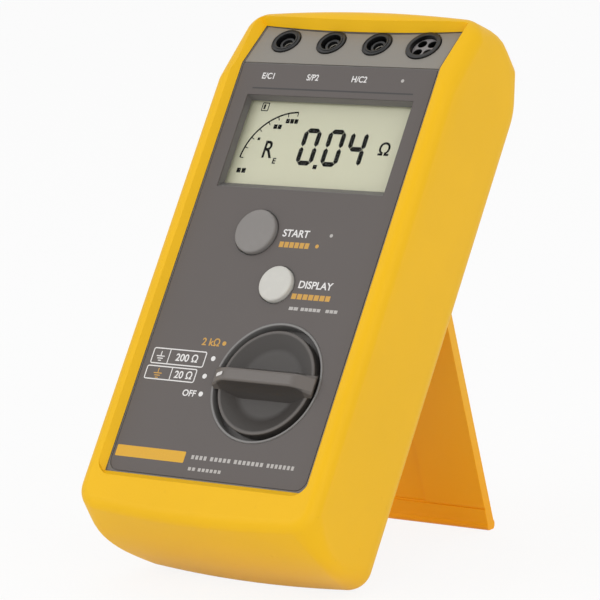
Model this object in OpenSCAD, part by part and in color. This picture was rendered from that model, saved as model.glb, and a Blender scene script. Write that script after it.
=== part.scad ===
// Handheld ground resistance tester in a moulded holster, leaning back on its tilt stand.
// Millimetres, +Z up, the face towards -Y. The origin is on the floor, below the middle
// of the whole tester. Every piece is drawn in the tester's own coordinates (x across the
// face, y up the face, z out of the face) and then stood up by stood().

/* [Holster] */
// Width across the widest line
holster_w = 110; // [104:1:124]
// Length along the face
holster_l = 222; // [214:1:240]
// Depth from the printed face to the flat back
holster_t = 51; // [48:1:60]
// Height of the lip over the printed face
lip_h = 3; // [2:0.5:4]
// Drawn-in width of each side at the back
side_taper = 2.5; // [0.5:0.5:4]
// Plan radius of the corners
corner_r = 10; // [8:0.5:12]
// Radius along the front edge
front_edge_r = 5; // [3:0.5:6]
// Plan radius of the upper corners
top_corner_r = 10; // [8:0.5:12]
// Radius along the upper front edge
top_edge_r = 7; // [5:0.5:7.5]
// Radius along the rear edges and the heel
rear_edge_r = 9; // [7:0.5:10]
// Radius of the top end where it turns into the back
top_back_r = 25; // [20:1:28]
// Crown of both ends
end_crown = 1.8; // [0.6:0.1:3]
// Setback of the nose from the heel
nose_setback = 4.4; // [2:0.2:6]
// Length of the straight bulge ahead of the heel
heel_bulge = 11; // [4:1:16]
// Depth of the flat worn under the heel
heel_flat = 0.4; // [0.2:0.1:0.8]
// Distance from the top end to the line where the lip bends back
bend_back = 31; // [29:0.5:36]
// Angle of the bent stretch of the lip
bend_angle = 13; // [10:0.5:15]
// Wall at the sides
side_wall = 4.6; // [3.5:0.1:6]
// Wall at the nose
nose_wall = 9.3; // [8:0.1:12]
// Wall at the top end
top_wall = 4.7; // [4:0.1:7]
// Wall behind the case
back_wall = 2; // [1.5:0.1:3]
// Width of the lip's sloping inner wall
lip_draft = 2.6; // [1:0.1:3]
// Plan radius of the lip's bulge over the sockets
bulge_r = 424; // [300:4:600]

/* [Face] */
// Width of the lip on each side of the face
lip_side = 9; // [7:0.5:10]
// Distance from the heel to the lower edge of the face
face_low = 22.7; // [18:0.1:28]
// Radius of the lower corners of the face
face_corner_r = 5; // [2:0.5:8]
// Distance from the top end to the fold of the face
fold_back = 27.4; // [25:0.2:30]
// Angle of the socket slope
socket_slope = 20; // [17:0.5:24]
// Length of the socket slope along the body
slope_run = 17.7; // [16:0.1:19]
// Thickness of the printed sheets
sheet_t = 0.5; // [0.3:0.1:0.8]

/* [Case] */
// Wall of the case
case_shell = 2.6; // [2:0.1:3.2]
// Plan radius of the case corners
case_corner_r = 8; // [6:0.5:10]
// Radius of the case where the top end turns into the back
case_top_r = 18; // [12:1:22]
// Radius of the other rear edges of the case
case_edge_r = 4; // [2:0.5:6]
// Depth of the parting line below the face
case_split = 20; // [18:0.5:24]
// Width of the seal between the case halves
seal_w = 0.9; // [0.6:0.1:1.2]
// Height of the seal between the case halves
seal_h = 1; // [0.6:0.1:1.4]

/* [Tilt stand] */
// Width of the stand
stand_w = 73.6; // [60:0.4:84]
// Distance from the hinge to the foot's centre
stand_l = 113.2; // [100:0.2:118]
// Thickness of the stand's plate
stand_t = 4.2; // [3.4:0.1:4.6]
// Opening angle against the stop
stand_open = 49.5; // [42:0.1:58]
// Distance from the heel to the hinge
pivot_y = 137; // [130:0.5:145]
// Radius of the hinge barrel
barrel_r = 2.5; // [2.3:0.1:2.7]
// Radius of the foot's bead
foot_r = 2.5; // [2.4:0.1:2.8]
// Depth of the flat under the foot
foot_flat = 0.5; // [0.3:0.1:0.9]
// Radius of the hinge trunnions
trunnion_r = 1.8; // [1.4:0.1:2]
// Length of each hinge trunnion
trunnion_l = 3.2; // [2.4:0.2:4.5]
// Width of the shallow channel down the plate
channel_w = 18; // [10:1:30]
// Depth of the shallow channel down the plate
channel_d = 0.7; // [0.4:0.1:1.2]
// Height of the foot pad below the channel
foot_pad = 8.5; // [6:0.5:12]
// Radius of the finger scoop below the stand
scoop_r = 6.4; // [4:0.2:6.6]
// Width of the finger scoop
scoop_w = 24; // [16:1:36]

/* [Display] */
// Distance from the display opening to the side of the face
window_side = 7.1; // [6.5:0.1:12]
// Height of the display opening
window_h = 39.5; // [32:0.5:41]
// Distance from the heel to the lower edge of the opening
window_low = 141.7; // [140:0.1:145]
// Depth of the pane below the face
window_depth = 3.5; // [2.8:0.1:4.5]
// Bevel on each side of the opening
window_side_bevel = 0.3; // [0.2:0.1:1]
// Bevel at the top of the opening
window_top_bevel = 0.9; // [0.3:0.1:2]
// Bevel at the bottom of the opening
window_low_bevel = 3.1; // [1:0.1:4]
// Thickness of the pane
pane_t = 1.2; // [0.8:0.1:1.4]
// Width of the ledge that carries the pane
pane_ledge = 1.2; // [0.8:0.1:1.4]
// Thickness of the liquid crystal panel
crystal_t = 2.8; // [2:0.1:3.2]
// Wall of the frame round the panel
crystal_frame_wall = 1.8; // [1.2:0.1:2]

/* [Keys] */
// Radius of the start key
start_r = 9; // [7:0.2:10]
// Place of the start key across the face, as a share of its width
start_x_share = -0.139; // [-0.2:0.001:-0.1]
// Place of the start key up the face
start_y = 123.4; // [121:0.2:126]
// Radius of the display key
display_r = 7.2; // [5:0.2:8]
// Place of the display key across the face, as a share of its width
display_x_share = 0.046; // [0:0.001:0.1]
// Place of the display key up the face
display_y = 102.8; // [101:0.2:104]
// Height of the keys over the face
key_h = 2.4; // [1.4:0.1:3]
// Crown of the keys
key_crown = 0.5; // [0.2:0.1:0.8]
// Travel of the start key
start_travel = 1.2; // [0.6:0.1:1.4]
// Travel of the display key
display_travel = 1; // [0.6:0.1:1.4]
// Thickness of the flange under each key
key_flange_t = 1.1; // [0.8:0.1:1.4]
// Width of the flange round each key
key_flange_w = 1.2; // [0.8:0.1:1.6]
// Radius of the switch plungers
plunger_r = 1.7; // [1.2:0.1:2]
// Side of the square switches
switch_w = 8; // [6:0.5:9]
// Height of the switches over the board
switch_h = 4; // [3.6:0.1:4.4]

/* [Selector] */
// Place of the selector across the face, as a share of its width
knob_x_share = 0.15; // [0.1:0.01:0.17]
// Place of the selector up the face
knob_y = 63.5; // [60:0.5:65]
// Radius of the well round the selector
well_r = 23.6; // [22.5:0.1:25]
// Depth of the well
well_depth = 5; // [4.4:0.1:5.6]
// Wall of the well
well_wall = 1.6; // [1.2:0.1:2]
// Width of the bead round the well
bead_w = 0.6; // [0.4:0.1:1]
// Radius of the selector's disc
knob_r = 21; // [19:0.2:22]
// Height of the disc's rim over the face
rim_h = 0.6; // [0.2:0.1:1.4]
// Width of the disc's rim
rim_w = 1.4; // [1:0.1:2.4]
// Depth of the dish below the rim
dish_depth = 3; // [2:0.1:3.4]
// Height of the grip bar over the face
bar_h = 6.6; // [5:0.1:9]
// Width of the grip bar on top
bar_top_w = 5.2; // [4:0.1:7]
// Width of the grip bar at its root
bar_root_w = 13; // [10:0.5:16]
// Reach of the grip bar from the centre
bar_reach = 23.1; // [20:0.1:23.2]
// Drop of the pointer's tip below the bar's top
bar_tip_drop = 4.4; // [2:0.1:5]
// Length of the sloping ends of the bar
bar_slope_l = 7; // [4:0.5:10]
// Radius of the hub
hub_r = 5; // [4:0.1:6]
// Radius of the detent rotor
rotor_r = 17; // [14:0.5:19]
// Thickness of the detent rotor
rotor_t = 2.4; // [2:0.1:3]
// Depth of the detent notches
notch_depth = 0.6; // [0.4:0.1:0.8]
// Angle between two detents
detent_step = 15; // [12:3:18]
// Section radius of the shaft seal
shaft_seal_r = 0.7; // [0.5:0.1:0.8]
// Thickness of the detent spring
detent_spring_t = 0.5; // [0.3:0.1:0.7]
// Width of the detent spring
detent_spring_w = 2; // [1.4:0.1:2.4]

/* [Sockets] */
// Distance between neighbouring sockets, as a share of the face's width
socket_pitch_share = 0.2337; // [0.215:0.0001:0.24]
// Distance from the fold to the sockets along the slope
socket_up = 12.7; // [11.5:0.1:12.9]
// Radius of a test socket's flange
socket_r = 6.1; // [5.6:0.1:6.6]
// Radius of the recess round a test contact
socket_recess_r = 4.1; // [4:0.05:4.4]
// Radius of the accessory socket's flange
accessory_r = 7.2; // [6.8:0.1:7.4]
// Height of the flanges over the slope
socket_flange_h = 0.7; // [0.4:0.1:1.2]
// Step from the flange to the barrel of a socket
socket_step = 0.6; // [0.4:0.1:0.8]
// Depth of the sockets below the slope
socket_depth = 23.5; // [20:0.5:25]
// Floor of the sockets
socket_floor = 1.5; // [1:0.1:2.5]
// Radius of the test contact's bore
contact_bore_r = 2; // [1.9:0.05:2.1]
// Radius of the test contact
contact_r = 3; // [2.6:0.1:3.2]
// Depth of the contact's mouth below the slope
contact_sink = 2.5; // [2:0.1:4]
// Length of the test contact's bore
contact_bore_l = 17; // [14:0.5:18]
// Radius of the solder tails
tail_r = 0.8; // [0.5:0.1:1]
// Length of the solder tails beyond the socket board
tail_free = 1.2; // [0.6:0.1:2]
// Radius of the accessory socket's pin holes
pin_hole_r = 1.7; // [1.2:0.1:1.9]
// Distance of the accessory socket's pin holes from its centre
pin_circle_r = 3.5; // [3:0.1:4]
// Depth of the accessory socket's insert below the slope
insert_sink = 1.2; // [0.8:0.1:3]

/* [Boards] */
// Depth of the main board's front below the face
board_drop = 13; // [12.6:0.1:14]
// Thickness of the boards
board_t = 1.6; // [1.2:0.1:2]
// Distance from the heel to the main board's lower end
board_low = 23; // [22:0.5:26]
// Distance from the heel to the main board's upper end
board_high = 186; // [184:0.5:187]
// Gap between the main board's edges and the case at the parting line
board_side_gap = 2.5; // [1.8:0.1:4]
// Height of the socket board along the slope
socket_board_h = 19; // [16:0.5:20]
// Thickness of the ribbon between the boards
ribbon_t = 0.6; // [0.4:0.1:0.8]
// Width of the ribbon between the boards
ribbon_w = 8; // [4:0.5:9]
// Side of the measuring chip
chip_w = 14; // [10:1:16]
// Height of the measuring chip
chip_h = 1.6; // [1:0.1:2]
// Width of a relay
relay_w = 7.5; // [6:0.5:9]
// Length of a relay
relay_l = 15; // [12:0.5:18]
// Height of a relay
relay_h = 10; // [8:0.5:12]
// Side of the output transformer
transformer_w = 20; // [16:0.5:22]
// Height of the output transformer
transformer_h = 14; // [10:0.5:16]
// Radius of the buzzer
buzzer_r = 8; // [6:0.5:10]
// Height of the buzzer
buzzer_h = 5; // [3:0.5:7]

/* [Battery] */
// Width of the battery block
battery_w = 26.5; // [26:0.1:27]
// Length of the battery block
battery_l = 46.4; // [46:0.1:47]
// Depth of the battery block
battery_t = 17.5; // [16:0.1:17.6]
// Distance from the heel to the battery's lower end
battery_low = 27; // [26:0.5:30]
// Height of the battery's studs
stud_h = 2.2; // [2:0.1:2.6]
// Radius of the plus stud
plus_stud_r = 2.8; // [2.6:0.1:3]
// Radius of the minus stud
minus_stud_r = 4.2; // [4:0.1:4.4]
// Distance between the studs
stud_pitch = 12.7; // [12.6:0.1:12.8]
// Wall of the battery bay
bay_wall = 1.4; // [1.2:0.1:1.8]
// Margin of the battery door round the bay
door_margin = 4; // [3.4:0.2:6]
// Thickness of the battery door's outer plate
door_t = 1.4; // [1:0.1:1.6]

/* [Fasteners] */
// Radius of the case screws
case_screw_r = 1.5; // [1.2:0.1:1.7]
// Head radius of the case screws
case_head_r = 2.7; // [2.4:0.1:2.8]
// Head height of the case screws
case_head_h = 2; // [1.4:0.1:2.4]
// Grip of the case screws in the front half
case_screw_grip = 8; // [5:0.5:12]
// Radius of the bosses for the case screws
case_boss_r = 3.6; // [3.5:0.1:4]
// Radius of the board and door screws
small_screw_r = 1.1; // [0.8:0.1:1.3]
// Head radius of the board and door screws
small_head_r = 2.1; // [1.8:0.1:2.2]
// Head height of the board and door screws
small_head_h = 1.2; // [0.8:0.1:1.4]
// Grip of the board and door screws
small_screw_grip = 6; // [4:0.5:8]
// Radius of the bosses for the board screws
board_boss_r = 2.8; // [2.4:0.1:3.2]

/* [Fits] */
// Clearance between fixed pieces and round openings
fit_gap = 0.3; // [0.2:0.05:0.4]
// Clearance of pins and hubs that turn
running_gap = 0.05; // [0.03:0.01:0.09]
// Clearance of a moving piece at its stop
stop_gap = 0.3; // [0.2:0.05:0.4]

/* [Hidden] */

// Overrun of every cut
cut = 1;
// Facets of hulled discs and spheres, of their rims, and of true round pieces
disc_n = 32;
rim_n = 24;
round_n = 64;
wide_n = 240;
// Steps of a rounded corner in an outline
arc_n = 6;
// Stations between the corners of the crowned ends, as shares of the half width
crown_shares = [-0.6, -0.2, 0.2, 0.6];

// Stand, hinge and back
stand_under = 0.4;
stand_flush = 0.4;
pivot_z = -(holster_t - stand_flush - foot_r);
recess_floor_z = pivot_z + foot_r + stand_under;
cavity_back_z = recess_floor_z + back_wall;
recess_side_gap = 0.6;
recess_w = stand_w + 2 * recess_side_gap;
recess_low = pivot_y - stand_l - foot_r - recess_side_gap - stop_gap;
recess_high = pivot_y + foot_r + recess_side_gap + stop_gap;
hinge_floor_gap = recess_floor_z - pivot_z;
stop_tail = (hinge_floor_gap - stop_gap - stand_t / 2 * cos(stand_open)) / sin(stand_open);
groove_w = 0.9;
groove_d = 0.4;
scoop_step = 0.8;

// Drop of the top end's round below the face, and width of the stations across it
top_back_drop = 1;
station_w = 1;

// Lean of the whole tester: the floor touches the heel and the open stand's foot
heel_y = rear_edge_r;
heel_z = -(holster_t - rear_edge_r);
heel_rest = rear_edge_r - heel_flat;
foot_rest = foot_r - foot_flat;
foot_y = pivot_y - stand_l * cos(stand_open);
foot_z = pivot_z - stand_l * sin(stand_open);
heel_to_foot = norm([foot_y - heel_y, foot_z - heel_z]);
lean = atan2(foot_y - heel_y, heel_z - foot_z) + asin((heel_rest - foot_rest) / heel_to_foot);
floor_drop = heel_y * cos(lean) + heel_z * sin(lean) - heel_rest;

// Middle of the tester from front to back
function run_back(y, z) = y * sin(lean) - z * cos(lean);
nose_front = run_back(nose_setback + front_edge_r, lip_h - front_edge_r) - front_edge_r;
stand_rear = run_back(foot_y, foot_z) + foot_r;
top_back_z = -(top_back_r + top_back_drop);
top_rear = run_back(holster_l - top_back_r, top_back_z) + top_back_r;
mid_y = (nose_front + max(stand_rear, top_rear)) / 2;

// Face and case
fold_y = holster_l - fold_back;
bend_y = holster_l - bend_back;
face_top = fold_y + slope_run;
slope_drop = slope_run * tan(socket_slope);
slope_len = slope_run / cos(socket_slope);
case_half = holster_w / 2 - side_wall - fit_gap;
face_w = holster_w - 2 * lip_side;
window_w = face_w - 2 * window_side;
start_x = face_w * start_x_share;
display_x = face_w * display_x_share;
knob_x = face_w * knob_x_share;
socket_pitch = face_w * socket_pitch_share;
case_low = nose_wall + fit_gap;
case_top = holster_l - top_wall - fit_gap;
case_t = -(cavity_back_z + fit_gap);
split_inset = side_taper * case_split / case_t;
bead_h = 0.3;
draft_h = 4 * lip_h;
bulge_deep = 2 * slope_drop;

// Display
pane_w = window_w - 2 * window_side_bevel + 2 * pane_ledge;
pane_low = window_low + window_low_bevel - pane_ledge;
pane_high = window_low + window_h - window_top_bevel + pane_ledge;
pane_z = -window_depth;
frame_gap = 0.2;
window_rim = 2;
window_block_z = pane_z - pane_t;
crystal_z = window_block_z - frame_gap;
crystal_under_z = crystal_z - crystal_t;
strip_w = 2;
strip_inset = 1;

// Keys
key_gap = fit_gap;
key_stop_z = -case_shell - stop_gap;
key_flange_z = key_stop_z - key_flange_t;
plunger_top_z = key_flange_z;
switch_top_z = -board_drop + switch_h;
plunger_dip = 0.8;
switch_bore = plunger_dip + max(start_travel, display_travel) + stop_gap;

// Selector
well_floor_z = -well_depth;
knob_under_z = well_floor_z + stop_gap;
rotor_top_z = well_floor_z - well_wall - stop_gap;
rotor_under_z = rotor_top_z - rotor_t;
hub_end_z = rotor_under_z;
rotor_screw_r = 1.3;
rotor_head_h = 1;
rotor_screw_l = 5;
notch_r = 1.5;
notch_count = round(360 / detent_step);
wiper_w = 2;
wiper_l = 9;
wiper_t = 0.3;
wiper_drop = -board_drop + stop_gap;

// Sockets
socket_columns = [-1.5, -0.5, 0.5, 1.5];
contact_base = contact_sink + contact_bore_l + socket_floor;
accessory_pin_angles = [45, 135, 225, 315];

// Boards and battery
board_z = -board_drop - board_t;
board_half = case_half - case_shell - board_side_gap;
board_screw_in = 4;
board_screw_rows = [29, 131];
board_screw_x = board_half - board_screw_in;
// Places of the parts on the board's back, across it as shares of its half width
part_x_shares = [-0.8, -0.5, 0.53];
part_rows = [118, 156];
relay_gap = 2;
relay_pitch = relay_w + relay_gap;
chip_place = [board_half * part_x_shares[1], part_rows[0]];
relay_place = [board_half * part_x_shares[0], part_rows[1]];
transformer_place = [board_half * part_x_shares[2], part_rows[1]];
buzzer_place = [board_half * part_x_shares[2], part_rows[0]];
screw_end_gap = 1;
socket_board_w = 3 * socket_pitch + 2 * (accessory_r + board_t);
socket_board_z = -socket_depth;
bay_gap = 0.4;
case_back_z = -case_t;
door_inner_z = case_back_z + case_shell;
battery_z = door_inner_z + fit_gap;
bay_roof_z = battery_z + battery_t + fit_gap;
bay_half = battery_w / 2 + bay_gap;
snap_t = 1.6;
bay_low = battery_low - bay_gap;
bay_high = battery_low + battery_l + stud_h + snap_t + bay_gap;
door_half = bay_half + door_margin;
door_low = bay_low - door_margin * 2;
door_high = bay_high + door_margin * 2;
door_screw_in = door_margin;
door_boss_r = 3;
boss_bite = 0.8;
case_boss_in = case_boss_r + case_shell - boss_bite;
boss_low = case_low + case_boss_in;
boss_high = case_top - case_boss_in - case_shell / 2;
boss_x = case_half - case_boss_in;
boss_floor_z = case_back_z + case_top_r / 2 + case_head_h;

// Stands the tester on its heel and its stand, centred over the origin
module stood() {
    translate([0, -mid_y, -floor_drop]) rotate([90 - lean, 0, 0]) children();
}

// Frame of the socket slope: y up the slope, z out of it
module on_slope() {
    translate([0, fold_y, 0]) rotate([-socket_slope, 0, 0]) children();
}

// Point in y and z of the body at u up the slope and w out of it
function slope_point(u, w) =
    [fold_y + u * cos(socket_slope) + w * sin(socket_slope), w * cos(socket_slope) - u * sin(socket_slope)];

// Distance up the slope of the point at y of the body and w out of the slope
function slope_reach(y, w) = (y - fold_y - w * sin(socket_slope)) / cos(socket_slope);

// Everything below the floor, to cut a bearing flat
module below_floor() {
    translate([-holster_w, -2 * holster_l, -holster_l])
        cube([2 * holster_w, 4 * holster_l, holster_l]);
}

// Points of one corner of an outline, turned into an arc
function corner_arc(before, at, after, r) =
    r == 0 ? [at] :
    let (
        u = (before - at) / norm(before - at),
        v = (after - at) / norm(after - at),
        half = acos(u * v) / 2,
        reach = r / tan(half),
        centre = at + (u + v) / norm(u + v) * r / sin(half),
        from = at + u * reach - centre,
        to = at + v * reach - centre,
        a = atan2(from[1], from[0]),
        b = atan2(to[1], to[0]),
        turn = b - a - 360 * round((b - a) / 360)
    )
    [for (i = [0 : arc_n]) centre + r * [cos(a + turn * i / arc_n), sin(a + turn * i / arc_n)]];

// Outline with each corner rounded by its own radius
function rounded(points, radii) =
    let (n = len(points))
    [for (i = [0 : n - 1])
        each corner_arc(points[(i + n - 1) % n], points[i], points[(i + 1) % n], radii[i])];

function rectangle(x0, y0, x1, y1) = [[x0, y0], [x1, y0], [x1, y1], [x0, y1]];

// Extrudes an outline in y and z across the whole width, centred on x = 0
module side_extrude(width) {
    rotate([90, 0, 90]) linear_extrude(width, center = true) children();
}

// Extrudes an outline in x and z along y, centred on y = 0
module end_extrude(length) {
    rotate([90, 0, 0]) linear_extrude(length, center = true) children();
}

// Extrudes an outline in x and y from z0 up to z1
module slab(z0, z1) {
    translate([0, 0, z0]) linear_extrude(z1 - z0) children();
}

// A cylinder from z0 up to z1
module post(r, z0, z1) {
    translate([0, 0, z0]) cylinder(h = z1 - z0, r = r, $fn = round_n);
}

// Drop of the crowned ends at a share of the half width
function crown_drop(share) = end_crown * share * share;

// A disc with a fully rounded rim
module round_disc(r, rim) {
    rotate_extrude($fn = disc_n) intersection() {
        translate([r - rim, 0]) circle(rim, $fn = rim_n);
        translate([0, -rim]) square([r, 2 * rim]);
    }
}

// Outer form of the holster
module holster_form() {
    front_half = holster_w / 2 - corner_r;
    top_half = holster_w / 2 - top_corner_r;
    rear_half = holster_w / 2 - side_taper - rear_edge_r;
    front_z = lip_h - front_edge_r;
    // Centre of the upper front corners, just below the plane of the bent lip
    tilt_reach = (top_corner_r - top_edge_r) * cos(bend_angle) + top_edge_r;
    top_y = holster_l - tilt_reach;
    tilt_run = (top_y - bend_y + top_edge_r * sin(bend_angle)) / cos(bend_angle);
    top_z = lip_h - tilt_run * sin(bend_angle) - top_edge_r * cos(bend_angle);
    hull() {
        for (side = [-1, 1]) {
            translate([side * front_half, nose_setback + end_crown + corner_r, front_z])
                round_disc(corner_r, front_edge_r);
            translate([side * front_half, bend_y - corner_r + front_edge_r, front_z])
                round_disc(corner_r, front_edge_r);
            translate([side * top_half, top_y - end_crown, top_z]) rotate([-bend_angle, 0, 0])
                round_disc(top_corner_r, top_edge_r);
            translate([side * rear_half, holster_l - top_back_r - end_crown, top_back_z])
                rotate([0, 90, 0]) round_disc(top_back_r, rear_edge_r);
        }
        // Stations between the corners draw the crowned ends
        for (s = crown_shares) {
            translate([s * front_half, nose_setback + crown_drop(s) + front_edge_r, front_z])
                sphere(front_edge_r, $fn = rim_n);
            translate([s * top_half, top_y - crown_drop(s), top_z]) rotate([-bend_angle, 0, 0])
                translate([0, top_corner_r - top_edge_r, 0]) sphere(top_edge_r, $fn = rim_n);
            translate([s * rear_half, holster_l - top_back_r - crown_drop(s), top_back_z])
                rotate([0, 90, 0]) cylinder(h = station_w, r = top_back_r, center = true, $fn = disc_n);
        }
        for (z = [heel_z, heel_z + heel_bulge]) {
            for (side = [-1, 1]) translate([side * rear_half, heel_y + end_crown, z])
                rotate([0, 90, 0]) sphere(rear_edge_r, $fn = disc_n);
            for (s = crown_shares) translate([s * rear_half, heel_y + crown_drop(s), z])
                rotate([0, 90, 0]) cylinder(h = station_w, r = rear_edge_r, center = true, $fn = disc_n);
        }
    }
}

// Outer form of the case, grown by g on every face
module case_form(g) {
    low = case_low - g;
    top = case_top + g;
    back = -case_t - g;
    fold = fold_y + g * tan(socket_slope / 2);
    end_z = g - (top - fold) * tan(socket_slope);
    half = case_half + g;
    rear_half = half - side_taper;
    intersection() {
        side_extrude(2 * holster_w) polygon(rounded(
            [[low, g], [fold, g], [top, end_z], [top, back], [low, back]],
            [0, 0, 0, case_top_r + g, case_edge_r + g]));
        end_extrude(3 * holster_l) polygon(rounded(
            [[-half, g], [half, g], [rear_half, back], [-rear_half, back]],
            [0, 0, case_edge_r + g, case_edge_r + g]));
        slab(back - cut, g + cut) polygon(rounded(
            rectangle(-half, low, half, top),
            [for (i = [0 : 3]) case_corner_r + g]));
    }
}

// Ring at the parting line, between two offsets of the case wall
module wall_ring(g0, g1, z0, z1) {
    half = case_half - split_inset;
    slab(z0, z1) difference() {
        polygon(rounded(rectangle(-half - g1, case_low - g1, half + g1, case_top + g1),
            [for (i = [0 : 3]) case_corner_r + g1]));
        polygon(rounded(rectangle(-half - g0, case_low - g0, half + g0, case_top + g0),
            [for (i = [0 : 3]) case_corner_r + g0]));
    }
}

// Outline of the opening for the face up to top, shrunk by g
module face_outline(g, top) {
    polygon(rounded(
        rectangle(-face_w / 2 + g, face_low + g, face_w / 2 - g, top),
        [face_corner_r - g, face_corner_r - g, 0, 0]));
}

// Opening in the lip over the flat face, wider towards the front
module face_cut() {
    half = face_w / 2;
    out = lip_draft * draft_h / lip_h;
    intersection() {
        side_extrude(2 * holster_w) polygon([
            [face_low, 0], [fold_y + cut, 0], [fold_y + cut, draft_h], [face_low - out, draft_h]]);
        end_extrude(3 * holster_l) polygon([
            [-half, 0], [half, 0], [half + out, draft_h], [-half - out, draft_h]]);
        slab(-cut, draft_h + cut) face_outline(-lip_draft - fit_gap, holster_l);
    }
}

// Opening in the lip over the socket slope, closed by the bulge of the lip at the top end
module slope_cut() {
    half = face_w / 2;
    out = lip_draft * draft_h / lip_h;
    difference() {
        on_slope() translate([0, slope_len, 0]) end_extrude(2 * (slope_len + cut)) polygon([
            [-half, 0], [half, 0], [half + out, draft_h], [-half - out, draft_h]]);
        translate([0, face_top + bulge_r, -slope_drop - bulge_deep])
            cylinder(h = 2 * bulge_deep, r1 = bulge_r + bulge_deep, r2 = bulge_r - bulge_deep, $fn = wide_n);
    }
}

// Everything past the upper edge of the socket slope, which bulges down in the middle
module past_slope(gap) {
    translate([0, slope_len + bulge_r, -holster_t / 2])
        cylinder(h = holster_t, r = bulge_r + gap, $fn = wide_n);
}

module at_keys() {
    translate([start_x, start_y, 0]) children(0);
    translate([display_x, display_y, 0]) children(1);
}

module at_sockets(first, last) {
    for (i = [first : last])
        translate([socket_columns[i] * socket_pitch, socket_up, 0]) children();
}

module at_case_bosses() {
    for (x = [-boss_x, boss_x], y = [boss_low, boss_high]) translate([x, y, 0]) children();
}

module at_board_screws() {
    for (x = [-board_screw_x, board_screw_x], y = board_screw_rows) translate([x, y, 0]) children();
}

// Holster of soft moulded plastic with its lip, stand recess and hinge sockets
module holster() {
    color("gold") difference() {
        stood() difference() {
            holster_form();
            case_form(fit_gap);
            face_cut();
            slope_cut();
            // Recess for the folded stand
            translate([-recess_w / 2, recess_low, recess_floor_z - holster_t])
                cube([recess_w, recess_high - recess_low, holster_t]);
            // Sockets for the hinge trunnions
            translate([0, pivot_y, pivot_z]) rotate([0, 90, 0])
                cylinder(h = stand_w + 2 * (trunnion_l + fit_gap), r = trunnion_r + running_gap,
                    center = true, $fn = round_n);
            // Finger scoop at the foot of the recess
            translate([0, recess_low, recess_floor_z - scoop_r - scoop_step]) rotate([0, 90, 0])
                cylinder(h = scoop_w, r = scoop_r, center = true, $fn = round_n);
        }
        below_floor();
    }
}

// Opening for the display, with a steep bevel below and slight draft elsewhere
module window_cut() {
    high = window_low + window_h;
    reach = cut / window_depth;
    intersection() {
        side_extrude(2 * window_w) polygon([
            [window_low - window_low_bevel * reach, cut],
            [window_low + window_low_bevel * (1 + reach), pane_z - cut],
            [high - window_top_bevel * (1 + reach), pane_z - cut],
            [high + window_top_bevel * reach, cut]]);
        end_extrude(4 * holster_l) polygon([
            [-window_w / 2 - window_side_bevel * reach, cut],
            [-window_w / 2 + window_side_bevel * (1 + reach), pane_z - cut],
            [window_w / 2 - window_side_bevel * (1 + reach), pane_z - cut],
            [window_w / 2 + window_side_bevel * reach, cut]]);
    }
}

// Front half of the case: face, display opening, selector well, socket slope and bosses
module front_case() {
    color("dimgray") stood() difference() {
        union() {
            difference() {
                case_form(0);
                case_form(-case_shell);
            }
            intersection() {
                case_form(-case_shell / 2);
                union() {
                    // Block round the display pane
                    slab(window_block_z, -sheet_t - cut / 2) polygon(rectangle(
                        -pane_w / 2 - window_rim, window_low - window_rim,
                        pane_w / 2 + window_rim, pane_high + window_rim));
                    // Cup of the selector's well
                    translate([knob_x, knob_y, 0])
                        post(well_r + well_wall, well_floor_z - well_wall, -sheet_t - cut / 2);
                    // Bosses for the case and board screws
                    at_case_bosses() post(case_boss_r, -case_split, -sheet_t - cut / 2);
                    at_board_screws() post(board_boss_r, -board_drop, -sheet_t - cut / 2);
                }
            }
            // Bead round the mouth of the well
            translate([knob_x, knob_y, 0]) post(well_r + bead_w, -sheet_t - cut, bead_h);
        }
        // Everything behind the parting line
        translate([-holster_w, 0, -case_split - holster_t]) cube([2 * holster_w, holster_l, holster_t]);
        wall_ring(-case_shell / 2 - seal_w / 2 - running_gap, -case_shell / 2 + seal_w / 2 + running_gap,
            -case_split - cut, -case_split + seal_h);
        // Beds of the two printed sheets
        difference() {
            slab(-sheet_t, cut) face_outline(fit_gap, fold_y + sheet_t);
            translate([knob_x, knob_y, 0]) post(well_r + bead_w, -cut, cut);
        }
        on_slope() difference() {
            translate([-face_w / 2 + 1.5 * fit_gap, sheet_t, -sheet_t])
                cube([face_w - 3 * fit_gap, fold_back, sheet_t + cut]);
            past_slope(fit_gap);
        }
        window_cut();
        slab(window_block_z - cut, pane_z) polygon(rectangle(
            -pane_w / 2 - running_gap, pane_low - running_gap,
            pane_w / 2 + running_gap, pane_high + running_gap));
        at_keys() {
            post(start_r + key_gap, -board_drop, cut);
            post(display_r + key_gap, -board_drop, cut);
        }
        translate([knob_x, knob_y, 0]) {
            post(well_r, well_floor_z, cut);
            post(hub_r + running_gap, -board_drop, cut);
            post(hub_r + running_gap + 2 * shaft_seal_r, well_floor_z - 2 * shaft_seal_r, well_floor_z + cut);
        }
        on_slope() {
            at_sockets(0, 2) {
                post(socket_r + running_gap, -sheet_t, cut);
                post(socket_r - socket_step + running_gap, -socket_depth, cut);
            }
            at_sockets(3, 3) {
                post(accessory_r + running_gap, -sheet_t, cut);
                post(accessory_r - socket_step + running_gap, -socket_depth, cut);
            }
        }
        at_case_bosses()
            post(case_screw_r + running_gap, -case_split - cut, -case_split + case_screw_grip + screw_end_gap);
        at_board_screws() post(small_screw_r + running_gap,
            -board_drop - cut, board_z + small_screw_grip + screw_end_gap);
    }
}

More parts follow.
